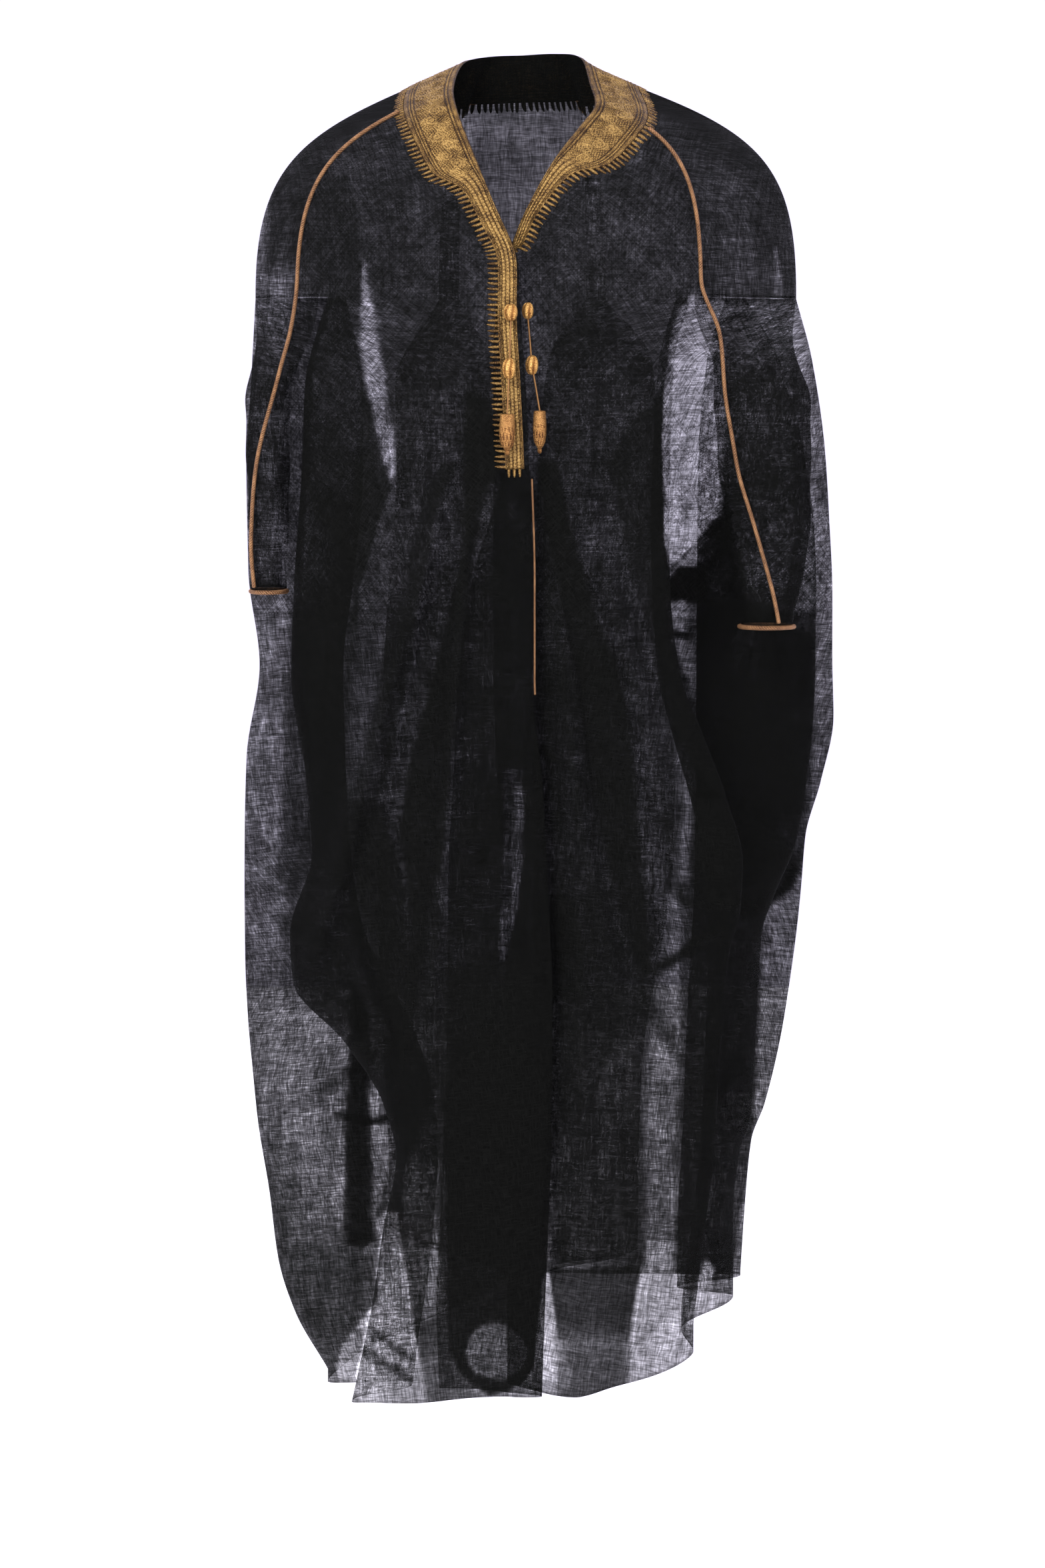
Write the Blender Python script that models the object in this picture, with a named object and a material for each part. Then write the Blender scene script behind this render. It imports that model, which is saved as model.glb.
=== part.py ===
"""A bisht: a wide sheer wool cloak with a gold-embroidered neckband, worn on a general figure.

Frame: +Z up, the wearer faces -Y, the wearer's left is +X.  The origin is where the shoulders
and neck carry the cloak.  The cloth is a thin wall whose level sections wind from each front
edge, through the folds of the front and side, to the pleats at the centre back.
"""
import math
from collections import namedtuple

import bmesh
import bpy
from mathutils import Vector
from mathutils.bvhtree import BVHTree

# ---- driving dimensions, in metres -------------------------------------------------------
WALL = 0.0014              # thickness of the cloth wall
GAP = 0.0003               # clearance between pieces that touch
YOKE_FOOT = -0.21          # height where the sleeves part from the fronts
LOOM_SEAM = -0.545         # height of the seam between the two loom widths
FLAP_TOP = -0.385          # where the turned-under facing of the right front starts
PLACKET_FOOT = -0.385      # lower end of the embroidered placket
EDGE_CORD_FOOT = -0.615    # lower end of the gold cord on the front edge
YOKE_ROWS = 8
UPPER_ROWS = 6
LOWER_ROWS = 12
SLEEVE_ROWS = 9
BAND_WALL = 0.0022         # thickness of the embroidered band
BAND_STEPS = 4             # strips across the embroidered band
TOOTH_PITCH = 0.0062       # spacing of the stitched teeth along the band
TOOTH_LENGTH = 0.0115
PIPING_RADIUS = 0.0022
EDGE_CORD_RADIUS = 0.0011
STRING_RADIUS = 0.0008
STRING_RUNS = 10
EDGE_CORD_TOP = -0.395
EDGE_CORD_RUNS = 12
PIPING_START = {"right": 0.072, "left": 0.082}   # where the piping leaves the neckband
PIPING_GAP = 0.0015
PIPING_RUNS = 44
BAND_GAP = 0.0008           # the band rides the crests of the cloth this far off
RAISE_ROUNDS = 12
MARCH_STEP = 0.006         # hop between points laid out across the band
TOOTH_TIP = 0.0008         # thickness of a tooth at its tip
DROP_SIDES = 10
DROP_RINGS = 7
FORWARD_OF_ALL = -0.30     # depth well in front of the cloak
SWAY = 0.004               # how far back a string's lower pieces may hang
CORE = Vector((0.0, 0.0, -0.40))   # a point well inside the worn cloak
CROWN_OUT = 0.035          # from the right front edge to the highest line of its roll
SHARP_ANGLE = 50           # degrees, above which an edge is shaded sharp

# ---- tables: one row for each height, fold, turning point or hanging piece --------------------
# "out" distances are measured from the middle plane towards that side.
RightFold = namedtuple("RightFold", "height edge flap front inner side pleat_in pleat_out")
RIGHT_FOLDS = (
    RightFold(-0.210, 0.003, 0.018, 0.200, 0.185, 0.284, 0.068, 0.090),
    RightFold(-0.300, -0.003, 0.018, 0.224, 0.168, 0.290, 0.025, 0.138),
    RightFold(-0.390, -0.007, 0.022, 0.228, 0.168, 0.296, 0.018, 0.137),
    RightFold(-0.500, -0.010, 0.052, 0.236, 0.178, 0.295, 0.015, 0.145),
    RightFold(-0.600, -0.010, 0.066, 0.240, 0.190, 0.284, 0.012, 0.152),
    RightFold(-0.700, -0.020, 0.071, 0.226, 0.188, 0.299, 0.012, 0.156),
    RightFold(-0.785, -0.025, 0.076, 0.220, 0.184, 0.302, 0.012, 0.158),
    RightFold(-0.870, -0.029, 0.077, 0.243, 0.172, 0.303, 0.012, 0.160),
    RightFold(-0.920, -0.031, 0.078, 0.240, 0.152, 0.303, 0.012, 0.160),
    RightFold(-0.985, -0.031, 0.079, 0.186, 0.118, 0.301, 0.012, 0.158),
    RightFold(-1.050, -0.030, 0.081, 0.146, 0.098, 0.296, 0.012, 0.155),
    RightFold(-1.105, -0.029, 0.083, 0.133, 0.090, 0.291, 0.012, 0.152),
    RightFold(-1.185, -0.026, 0.087, 0.147, 0.095, 0.279, 0.012, 0.150),
    RightFold(-1.260, -0.023, 0.090, 0.158, 0.102, 0.270, 0.012, 0.150),
    RightFold(-1.320, -0.021, 0.088, 0.170, 0.112, 0.252, 0.012, 0.146),
    RightFold(-1.385, -0.019, 0.085, 0.184, 0.120, 0.216, 0.012, 0.140),
)
LeftFold = namedtuple(
    "LeftFold", "height edge breast front tuck pouch inner side pleat_in pleat_out")
LEFT_FOLDS = (
    LeftFold(-0.210, -0.026, 0.060, 0.170, 0.160, 0.235, 0.215, 0.292, 0.068, 0.090),
    LeftFold(-0.275, -0.030, 0.060, 0.156, 0.142, 0.272, 0.196, 0.310, 0.028, 0.140),
    LeftFold(-0.370, -0.030, 0.060, 0.152, 0.136, 0.298, 0.188, 0.325, 0.018, 0.148),
    LeftFold(-0.450, -0.030, 0.060, 0.151, 0.134, 0.310, 0.187, 0.331, 0.015, 0.150),
    LeftFold(-0.520, -0.030, 0.060, 0.153, 0.136, 0.313, 0.187, 0.335, 0.012, 0.152),
    LeftFold(-0.600, -0.030, 0.060, 0.164, 0.142, 0.313, 0.187, 0.336, 0.012, 0.158),
    LeftFold(-0.660, -0.028, 0.060, 0.187, 0.156, 0.311, 0.187, 0.338, 0.012, 0.162),
    LeftFold(-0.730, -0.025, 0.060, 0.213, 0.176, 0.304, 0.187, 0.325, 0.012, 0.168),
    LeftFold(-0.790, -0.022, 0.060, 0.228, 0.190, 0.294, 0.187, 0.309, 0.012, 0.168),
    LeftFold(-0.845, -0.020, 0.060, 0.226, 0.196, 0.272, 0.186, 0.305, 0.012, 0.166),
    LeftFold(-0.890, -0.018, 0.060, 0.215, 0.196, 0.258, 0.184, 0.301, 0.012, 0.160),
    LeftFold(-0.970, -0.016, 0.060, 0.208, 0.195, 0.254, 0.180, 0.291, 0.012, 0.146),
    LeftFold(-1.015, -0.016, 0.060, 0.205, 0.193, 0.252, 0.178, 0.284, 0.012, 0.138),
    LeftFold(-1.090, -0.016, 0.060, 0.202, 0.190, 0.248, 0.176, 0.267, 0.012, 0.132),
    LeftFold(-1.130, -0.016, 0.060, 0.198, 0.187, 0.236, 0.174, 0.253, 0.012, 0.131),
    LeftFold(-1.195, -0.016, 0.058, 0.190, 0.180, 0.230, 0.171, 0.247, 0.012, 0.130),
    LeftFold(-1.280, -0.016, 0.056, 0.180, 0.170, 0.230, 0.170, 0.242, 0.012, 0.130),
)
Depth = namedtuple("Depth", "height chest back")
DEPTHS = (
    Depth(-0.21, -0.136, 0.112),
    Depth(-0.30, -0.146, 0.124),
    Depth(-0.45, -0.156, 0.136),
    Depth(-0.60, -0.162, 0.146),
    Depth(-0.80, -0.168, 0.156),
    Depth(-1.00, -0.173, 0.166),
    Depth(-1.20, -0.178, 0.175),
    Depth(-1.39, -0.182, 0.180),
)
# How far back each turning point lies, from 0 at the chest to 1 at the centre back, and the
# height of the hem there.
Turn = namedtuple("Turn", "name back hem")
RIGHT_TURNS = (
    Turn("flap", 0.085, -1.343),
    Turn("edge", 0.020, -1.345),
    Turn("crown", 0.000, -1.343),
    Turn("front", 0.200, -1.370),
    Turn("inner", 0.480, -1.378),
    Turn("side", 0.720, -1.400),
    Turn("pleat_in", 0.860, -1.290),
    Turn("pleat_out", 0.925, -1.240),
    Turn("spine", 1.000, -1.308),
)
LEFT_TURNS = (
    Turn("edge", 0.140, -1.345),
    Turn("breast", 0.058, -1.350),
    Turn("front", 0.160, -1.312),
    Turn("tuck", 0.350, -1.306),
    Turn("pouch", 0.580, -1.290),
    Turn("inner", 0.665, -1.288),
    Turn("side", 0.770, -1.284),
    Turn("pleat_in", 0.870, -1.290),
    Turn("pleat_out", 0.930, -1.268),
    Turn("spine", 1.000, -1.308),
)
RIGHT_STEPS = (3, 3, 11, 5, 6, 6, 5, 5)
LEFT_STEPS = (5, 7, 4, 5, 5, 4, 6, 5, 5)

Neck = namedtuple("Neck", "out depth height")
RIGHT_NECK = (
    Neck(0.0110, -0.1320, -0.155),
    Neck(0.0278, -0.1230, -0.119),
    Neck(0.0477, -0.0990, -0.070),
    Neck(0.0681, -0.0600, -0.016),
    Neck(0.0705, -0.0120, 0.012),
    Neck(0.0600, 0.0380, 0.037),
    Neck(0.0340, 0.0640, 0.045),
    Neck(0.0000, 0.0720, 0.047),
)
LEFT_NECK = (
    Neck(-0.0160, -0.1100, -0.170),
    Neck(0.0014, -0.1120, -0.127),
    Neck(0.0314, -0.0980, -0.073),
    Neck(0.0590, -0.0720, -0.036),
    Neck(0.0745, -0.0480, -0.014),
    Neck(0.0700, -0.0080, 0.011),
    Neck(0.0605, 0.0380, 0.042),
    Neck(0.0340, 0.0640, 0.048),
    Neck(0.0000, 0.0720, 0.047),
)
# Share of the neckline, from the foot of the V to the centre back, at each parting of the yoke.
NECK_SHARE = {"front": 0.44, "piping": 0.53, "side": 0.66, "spine": 1.0}
Yoke = namedtuple("Yoke", "reach drop lift")
YOKE_RISE = {"right": Yoke(reach=0.74, drop=0.25, lift=0.63),
             "left": Yoke(reach=0.82, drop=0.21, lift=0.64),
             "spine": Yoke(reach=0.72, drop=0.28, lift=0.62)}
ARC_STEPS = 8              # strips of the yoke between the front fold and the side
PIPING_STEP = 2            # the strip line that carries the piping
PIPING_FOOT = {"right": 0.29, "left": 0.10}   # its share of the arc at the yoke's foot

Ridge = namedtuple("Ridge", "side width swell route")
Knot = namedtuple("Knot", "height out")
RIDGES = (
    Ridge("right", 0.015, 0.022, (Knot(-0.34, 0.070), Knot(-0.47, 0.098), Knot(-0.63, 0.144),
                                  Knot(-0.80, 0.190), Knot(-0.92, 0.228))),
    Ridge("right", 0.012, 0.016, (Knot(-0.40, 0.055), Knot(-0.56, 0.066), Knot(-0.71, 0.079),
                                  Knot(-0.82, 0.087), Knot(-0.98, 0.100))),
    Ridge("left", 0.015, 0.020, (Knot(-0.36, 0.045), Knot(-0.515, 0.090), Knot(-0.63, 0.122),
                                 Knot(-0.75, 0.150), Knot(-0.90, 0.185))),
    Ridge("left", 0.013, 0.016, (Knot(-0.50, 0.030), Knot(-0.71, 0.055), Knot(-0.87, 0.086),
                                 Knot(-1.02, 0.115), Knot(-1.15, 0.125))),
    Ridge("left", 0.015, 0.010, (Knot(-0.62, 0.050), Knot(-0.90, 0.060), Knot(-1.10, 0.066),
                                 Knot(-1.25, 0.070), Knot(-1.35, 0.072))),
)
Cowl = namedtuple("Cowl", "out height width depth swell")
COWL = Cowl(out=0.245, height=-0.785, width=0.060, depth=0.050, swell=0.020)
# Small waves of the cloth: height of each, waves to a metre across, and how they lean.
Ripple = namedtuple("Ripple", "size across phase lean")
BACK_RIPPLES = (Ripple(0.0060, 62.0, 1.3, 2.0), Ripple(0.0036, 27.0, 0.0, 5.0))
SKIRT_RIPPLE = Ripple(0.0040, 55.0, 0.8, 3.0)

Ring = namedtuple("Ring", "height in_x out_x front back")
RIGHT_SLEEVE = (
    Ring(-0.250, 0.230, 0.286, -0.092, -0.010),
    Ring(-0.330, 0.241, 0.289, -0.096, -0.022),
    Ring(-0.420, 0.242, 0.287, -0.094, -0.026),
    Ring(-0.512, 0.246, 0.284, -0.092, -0.030),
)
LEFT_SLEEVE = (
    Ring(-0.250, 0.194, 0.291, -0.102, -0.042),
    Ring(-0.330, 0.198, 0.300, -0.106, -0.046),
    Ring(-0.440, 0.208, 0.300, -0.108, -0.048),
    Ring(-0.548, 0.226, 0.283, -0.104, -0.046),
)
# Share of the yoke's arc that each sleeve hangs from.
SLEEVE_ARC = {"right": (0.10, 0.93), "left": (0.06, 0.93)}
SLEEVE_BLEND = 0.11        # height over which the sleeve rounds into its tube
SLEEVE_FRONT = 9
SLEEVE_BACK = 7

Width = namedtuple("Width", "run band")
RIGHT_BAND = (             # run is measured along the band from the centre back
    Width(0.000, 0.052), Width(0.120, 0.056), Width(0.225, 0.052), Width(0.256, 0.048),
    Width(0.268, 0.040), Width(0.282, 0.027), Width(0.300, 0.023), Width(0.360, 0.020),
    Width(0.560, 0.020),
)
LEFT_BAND = (
    Width(0.000, 0.052), Width(0.120, 0.058), Width(0.215, 0.056), Width(0.240, 0.051),
    Width(0.252, 0.042), Width(0.266, 0.028), Width(0.290, 0.019), Width(0.330, 0.012),
)
Pipe = namedtuple("Pipe", "height out")
RIGHT_PIPING = (
    Pipe(-0.24, 0.2355), Pipe(-0.29, 0.2515), Pipe(-0.32, 0.2600), Pipe(-0.352, 0.2675),
    Pipe(-0.384, 0.2735), Pipe(-0.43, 0.2775), Pipe(-0.47, 0.2790), Pipe(-0.508, 0.2760),
)
LEFT_PIPING = (
    Pipe(-0.225, 0.198), Pipe(-0.26, 0.2040), Pipe(-0.318, 0.2110), Pipe(-0.358, 0.2180),
    Pipe(-0.389, 0.2230), Pipe(-0.436, 0.2370), Pipe(-0.468, 0.2460), Pipe(-0.517, 0.2590),
    Pipe(-0.544, 0.2640),
)
Drop = namedtuple("Drop", "name x height width length kind")
DROPS = (
    Drop("knot_right", -0.0118, -0.2270, 0.0160, 0.0170, "ball"),
    Drop("bead_right", -0.0135, -0.2835, 0.0150, 0.0210, "ball"),
    Drop("tassel_right", -0.0155, -0.3500, 0.0165, 0.0420, "tassel"),
    Drop("knot_left", 0.0056, -0.2250, 0.0130, 0.0170, "ball"),
    Drop("bead_left", 0.0098, -0.2800, 0.0145, 0.0200, "ball"),
    Drop("tassel_left", 0.0175, -0.3480, 0.0140, 0.0440, "tassel"),
)

Part = namedtuple("Part", "radius height")
TASSEL_OUTLINE = (         # shares of the tassel's half width and half length, top to bottom
    Part(0.00, 1.00), Part(0.42, 0.98), Part(0.60, 0.84), Part(0.95, 0.62), Part(1.00, 0.20),
    Part(0.92, -0.30), Part(0.70, -0.72), Part(0.35, -0.95), Part(0.00, -1.00),
)

Finish = namedtuple("Finish", "colour roughness metallic")
BLACK_WOOL = Finish((0.010, 0.009, 0.012, 1.0), 0.85, 0.0)
GOLD_ZARI = Finish((0.36, 0.20, 0.06, 1.0), 0.45, 0.7)
COPPER_BRAID = Finish((0.26, 0.12, 0.04, 1.0), 0.55, 0.5)
GOLD_THREAD = Finish((0.52, 0.26, 0.05, 1.0), 0.35, 0.8)


# ---- curves and tables ---------------------------------------------------------------------
def smooth(t):
    """Ease from 0 to 1."""
    t = min(1.0, max(0.0, t))
    return t * t * (3.0 - 2.0 * t)


def along(rows, key, value, at):
    """Read column `value` of a table at `at` in column `key`, on a curve without overshoot."""
    keys = [getattr(row, key) for row in rows]
    values = [getattr(row, value) for row in rows]
    if keys[0] > keys[-1]:
        keys.reverse()
        values.reverse()
    if at <= keys[0]:
        return values[0]
    if at >= keys[-1]:
        return values[-1]
    k = max(i for i in range(len(keys) - 1) if keys[i] <= at)
    slopes = [(values[i + 1] - values[i]) / (keys[i + 1] - keys[i]) for i in range(len(keys) - 1)]

    def tangent(i):
        if i == 0:
            return slopes[0]
        if i == len(keys) - 1:
            return slopes[-1]
        if slopes[i - 1] * slopes[i] <= 0.0:
            return 0.0
        return 2.0 * slopes[i - 1] * slopes[i] / (slopes[i - 1] + slopes[i])

    step = keys[k + 1] - keys[k]
    t = (at - keys[k]) / step
    return hermite(values[k], values[k + 1], tangent(k) * step, tangent(k + 1) * step, t)


def hermite(start, end, leave, arrive, t):
    """Point of a cubic curve between two values with the given end slopes."""
    a = 2 * t ** 3 - 3 * t ** 2 + 1
    b = t ** 3 - 2 * t ** 2 + t
    c = -2 * t ** 3 + 3 * t ** 2
    d = t ** 3 - t ** 2
    return start * a + leave * b + end * c + arrive * d


def wave(ripple, out, height):
    """Depth of a small wave of the cloth at a distance out and a height."""
    return ripple.size * math.sin(out * ripple.across + ripple.phase + height * ripple.lean)


def fold_steps(count):
    """Parameters from 0 to 1, closer together at both ends where the cloth folds."""
    even = [k / count for k in range(count + 1)]
    return [0.5 * t + 0.25 * (1.0 - math.cos(math.pi * t)) for t in even]


def through(points, share):
    """Point at a share of the way along a smooth line through the given points."""
    place = min(max(share, 0.0), 1.0) * (len(points) - 1)
    k = min(int(place), len(points) - 2)
    before = points[max(k - 1, 0)]
    after = points[min(k + 2, len(points) - 1)]
    leave = (points[k + 1] - before) * 0.5
    arrive = (after - points[k]) * 0.5
    return hermite(points[k], points[k + 1], leave, arrive, place - k)


def evened(points, count):
    """The same line with `count` equal runs."""
    fine = [through(points, i / 200) for i in range(201)]
    runs = [0.0]
    for a, b in zip(fine, fine[1:]):
        runs.append(runs[-1] + (b - a).length)
    result = []
    for i in range(count + 1):
        target = runs[-1] * i / count
        k = max(j for j in range(200) if runs[j] <= target or j == 0)
        step = max(runs[k + 1] - runs[k], 1e-9)
        result.append(fine[k].lerp(fine[k + 1], min(1.0, (target - runs[k]) / step)))
    return result


# ---- the hang of the cloth ---------------------------------------------------------------------
class Side:
    """One half of the cloak: where its folds turn at each height."""

    def __init__(self, name):
        right = name == "right"
        self.name = name
        self.sign = -1.0 if right else 1.0
        self.folds = RIGHT_FOLDS if right else LEFT_FOLDS
        self.turns = RIGHT_TURNS if right else LEFT_TURNS
        self.steps = RIGHT_STEPS if right else LEFT_STEPS
        self.neck = RIGHT_NECK if right else LEFT_NECK
        self.sleeve = RIGHT_SLEEVE if right else LEFT_SLEEVE
        self.first = 1 if right else 0         # turning point at the visible front edge
        names = [turn.name for turn in self.turns]
        starts = [sum(self.steps[:i]) for i in range(len(self.turns))]
        self.column = dict(zip(names, starts))
        self.columns = starts[-1] + 1

    def turn_point(self, index, height):
        """Turning point `index` at a height, as distance out and depth."""
        turn = self.turns[index]
        chest = along(DEPTHS, "height", "chest", height)
        back = along(DEPTHS, "height", "back", height)
        depth = chest + (back - chest) * turn.back
        if turn.name == "spine":
            out = 0.0
        elif turn.name == "crown":
            out = along(self.folds, "height", "edge", height) + CROWN_OUT
        else:
            out = along(self.folds, "height", turn.name, height)
        return out, depth

    def section(self, height):
        """Level section of the hanging cloth from the front edge to the centre back."""
        points = []
        spots = [self.turn_point(i, height) for i in range(len(self.turns))]
        soften = smooth((YOKE_FOOT - height) / 0.09)
        for i, count in enumerate(self.steps):
            (x0, y0), (x1, y1) = spots[i], spots[i + 1]
            dx, dy = x1 - x0, y1 - y0
            leave = self.heading(i, dx, dy, soften, True)
            arrive = self.heading(i + 1, dx, dy, soften, False)
            for t in fold_steps(count)[(0 if i == 0 else 1):]:
                x = hermite(x0, x1, leave[0], arrive[0], t)
                y = hermite(y0, y1, leave[1], arrive[1], t)
                points.append((x, y))
        return points

    def heading(self, index, dx, dy, soften, leaving):
        """Direction of the cloth at a turning point: across at open ones, backwards at folds."""
        name = self.turns[index].name
        if name in ("crown", "breast", "spine"):
            return dx, 0.0
        if index == 0:
            return dx, dy
        if name == "edge":
            return 0.0, 1.5 * dy
        if name == "front" and not leaving:
            return 0.6 * dx * (1.0 - soften), 1.4 * dy
        if name == "front":
            return 0.03 * (1.0 - soften), 1.2 * dy
        return 0.0, 1.3 * dy

    def hem(self, column):
        """Height of the hem at a column."""
        index = max(i for i in range(len(self.steps)) if self.column[self.turns[i].name] <= column)
        start = self.column[self.turns[index].name]
        t = (column - start) / self.steps[index]
        low, high = self.turns[index].hem, self.turns[index + 1].hem
        return low + (high - low) * smooth(t)

    def swell(self, out, depth, height):
        """Shift in depth that raises the long soft ridges, the same for all layers in front."""
        chest = along(DEPTHS, "height", "chest", height)
        back = along(DEPTHS, "height", "back", height)
        share = (depth - chest) / (back - chest)
        front = 1.0 - smooth(share / 0.55)
        rear = smooth((share - 0.75) / 0.25)
        shift = 0.0
        for ridge in RIDGES:
            if ridge.side != self.name:
                continue
            top, foot = ridge.route[0].height, ridge.route[-1].height
            fade = smooth((top + 0.02 - height) / 0.12) * smooth((height - foot + 0.06) / 0.16)
            middle = along(ridge.route, "height", "out", height)
            shift -= front * fade * ridge.swell * math.exp(-((out - middle) / ridge.width) ** 2)
        if self.name == "left":
            hump = math.exp(-((out - COWL.out) / COWL.width) ** 2)
            hump *= math.exp(-((height - COWL.height) / COWL.depth) ** 2)
            shift -= front * hump * COWL.swell
        lower = smooth((-0.25 - height) / 0.4)
        shift += rear * lower * sum(wave(ripple, out, height) for ripple in BACK_RIPPLES)
        skirt = smooth((-0.85 - height) / 0.35)
        shift += front * skirt * wave(SKIRT_RIPPLE, out, height * self.sign)
        return shift

    def place(self, out, depth, height):
        """World point for a distance out, a depth and a height, ridges included."""
        return Vector((self.sign * out, depth + self.swell(out, depth, height), height))

    def body_point(self, column, row):
        """Point of the hanging part: rows run from the yoke's foot down to the hem."""
        if row <= UPPER_ROWS:
            height = YOKE_FOOT + (LOOM_SEAM - YOKE_FOOT) * row / UPPER_ROWS
        else:
            height = LOOM_SEAM + (self.hem(column) - LOOM_SEAM) * (row - UPPER_ROWS) / LOWER_ROWS
        out, depth = self.section(height)[column]
        return self.place(out, depth, height)

    def point_at(self, column, height):
        """Point of the hanging part in a column at a height."""
        out, depth = self.section(height)[column]
        return self.place(out, depth, height)

    def arc_point(self, share):
        """Foot of the yoke between the front fold and the side, round the upper arm."""
        x0, y0 = self.turn_point(self.turn_index("front"), YOKE_FOOT)
        x1, y1 = self.turn_point(self.turn_index("side"), YOKE_FOOT)
        x = hermite(x0, x1, 0.10, 0.01, share)
        y = hermite(y0, y1, 0.06, 0.17, share)
        return self.place(x, y, YOKE_FOOT)

    def turn_index(self, name):
        """Place of a named turning point in the row of turns."""
        return [turn.name for turn in self.turns].index(name)

    def neck_point(self, share):
        """Point on the neckline, 0 at the foot of the V and 1 at the centre back."""
        knots = [Vector((self.sign * n.out, n.depth, n.height)) for n in self.neck]
        return through(knots, share)

    def yoke_feet(self):
        """Foot points of the yoke with the share of the neckline above each."""
        first = self.column[self.turns[self.first].name]
        front, side = self.column["front"], self.column["side"]
        last = self.column["spine"]
        feet = []
        for c in range(first, front + 1):
            share = NECK_SHARE["front"] * (c - first) / (front - first)
            feet.append((self.body_point(c, 0), share))
        for k in range(1, ARC_STEPS):
            if k <= PIPING_STEP:
                part = k / PIPING_STEP
                share = NECK_SHARE["front"] * (1 - part) + NECK_SHARE["piping"] * part
            else:
                part = (k - PIPING_STEP) / (ARC_STEPS - PIPING_STEP)
                share = NECK_SHARE["piping"] * (1 - part) + NECK_SHARE["side"] * part
            foot = PIPING_FOOT[self.name]
            place = foot * part if k <= PIPING_STEP else foot + (1 - foot) * part
            feet.append((self.arc_point(place), share))
        for c in range(side, last + 1):
            share = NECK_SHARE["side"] + (1 - NECK_SHARE["side"]) * (c - side) / (last - side)
            feet.append((self.body_point(c, 0), share))
        return feet

    def yoke_point(self, foot, share, drop):
        """Point of the yoke between the neckline and its foot, over the rounded shoulder."""
        top = self.neck_point(share)
        across = Vector((foot.x - top.x, foot.y - top.y, 0.0))
        fall = top.z - foot.z
        mix = smooth((share - NECK_SHARE["side"]) / (1.0 - NECK_SHARE["side"]))
        reach, rise, lift = (own + (shared - own) * mix for own, shared in
                             zip(YOKE_RISE[self.name], YOKE_RISE["spine"]))
        lead = top + across * reach - Vector((0.0, 0.0, fall * rise))
        brow = foot + Vector((0.0, 0.0, fall * lift))
        s = 1.0 - drop
        return (top * s ** 3 + lead * (3 * s * s * drop) + brow * (3 * s * drop * drop)
                + foot * drop ** 3)


# ---- sheets and solids ----------------------------------------------------------------------------
class Sheet:
    """A thin surface gathered from named grids of points, later given its wall piece by piece."""

    def __init__(self):
        self.points = []
        self.index = {}
        self.faces = []
        self.labels = []

    def vertex(self, point):
        """Index of a point, shared with any earlier one in the same place."""
        key = tuple(round(c * 1e6) for c in point)
        if key not in self.index:
            self.index[key] = len(self.points)
            self.points.append(Vector(point))
        return self.index[key]

    def add_grid(self, rows, label, wanted=None, flip=False, closed=False):
        """Add the cells of a grid; `label(row, column)` names the piece each belongs to."""
        ids = [[self.vertex(p) for p in row] for row in rows]
        columns = len(ids[0])
        for r in range(len(ids) - 1):
            for c in range(columns if closed else columns - 1):
                if wanted and not wanted(r, c):
                    continue
                d = (c + 1) % columns
                corners = [ids[r][c], ids[r][d], ids[r + 1][d], ids[r + 1][c]]
                if flip:
                    corners.reverse()
                for face in (corners[:3], [corners[0], *corners[2:]]):
                    self.faces.append(face)
                    self.labels.append(label(r, c))

    def normals(self):
        """Area-weighted normal at every point of the whole sheet."""
        result = [Vector() for _ in self.points]
        for face in self.faces:
            a, b, c = (self.points[i] for i in face)
            normal = (b - a).cross(c - a)
            for i in face:
                result[i] += normal
        return [n.normalized() for n in result]

    def tree(self):
        """Search tree over the sheet's middle surface."""
        return BVHTree.FromPolygons(self.points, self.faces)

    def trimmed(self, faces):
        """Points of one piece, its edges drawn in by half of the clearance."""
        uses = {}
        for face in faces:
            for a, b in zip(face, face[1:] + face[:1]):
                uses.setdefault(frozenset((a, b)), []).append((a, b))
        edges = [pairs[0] for pairs in uses.values() if len(pairs) == 1]
        middles = {}
        for face in faces:
            middle = sum((self.points[i] for i in face), Vector()) / len(face)
            for i in face:
                middles.setdefault(i, []).append(middle)
        headings = {}
        for a, b in edges:
            run = (self.points[b] - self.points[a]).normalized()
            headings.setdefault(a, []).append(run)
            headings.setdefault(b, []).append(run)
        moved = {}
        for i, runs in headings.items():
            if len(runs) != 2:
                continue
            inward = sum(middles[i], Vector()) / len(middles[i]) - self.points[i]
            run = (runs[0] + runs[1]).normalized()
            inward -= run * inward.dot(run)
            if inward.length > 1e-7:
                moved[i] = self.points[i] + inward.normalized() * (GAP * 0.55)
        return edges, moved

    def solid(self, name, label, wall, finish, lift=0.0):
        """Give one labelled piece its wall and make it an object."""
        normals = self.normals()
        faces = [f for f, tag in zip(self.faces, self.labels) if tag == label]
        edges, moved = self.trimmed(faces)
        used = sorted({i for face in faces for i in face})
        place = {i: n for n, i in enumerate(used)}
        outer, inner = [], []
        for i in used:
            middle = moved.get(i, self.points[i])
            outer.append(middle + normals[i] * (lift + wall / 2))
            inner.append(middle + normals[i] * (lift - wall / 2))
        count = len(used)
        polygons = []
        for face in faces:
            near = [place[i] for i in face]
            polygons.append(near)
            polygons.append([n + count for n in reversed(near)])
        for a, b in edges:
            m, n = place[a], place[b]
            polygons.append([n, m, m + count, n + count])
        return add_object(name, outer + inner, polygons, finish)


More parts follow.
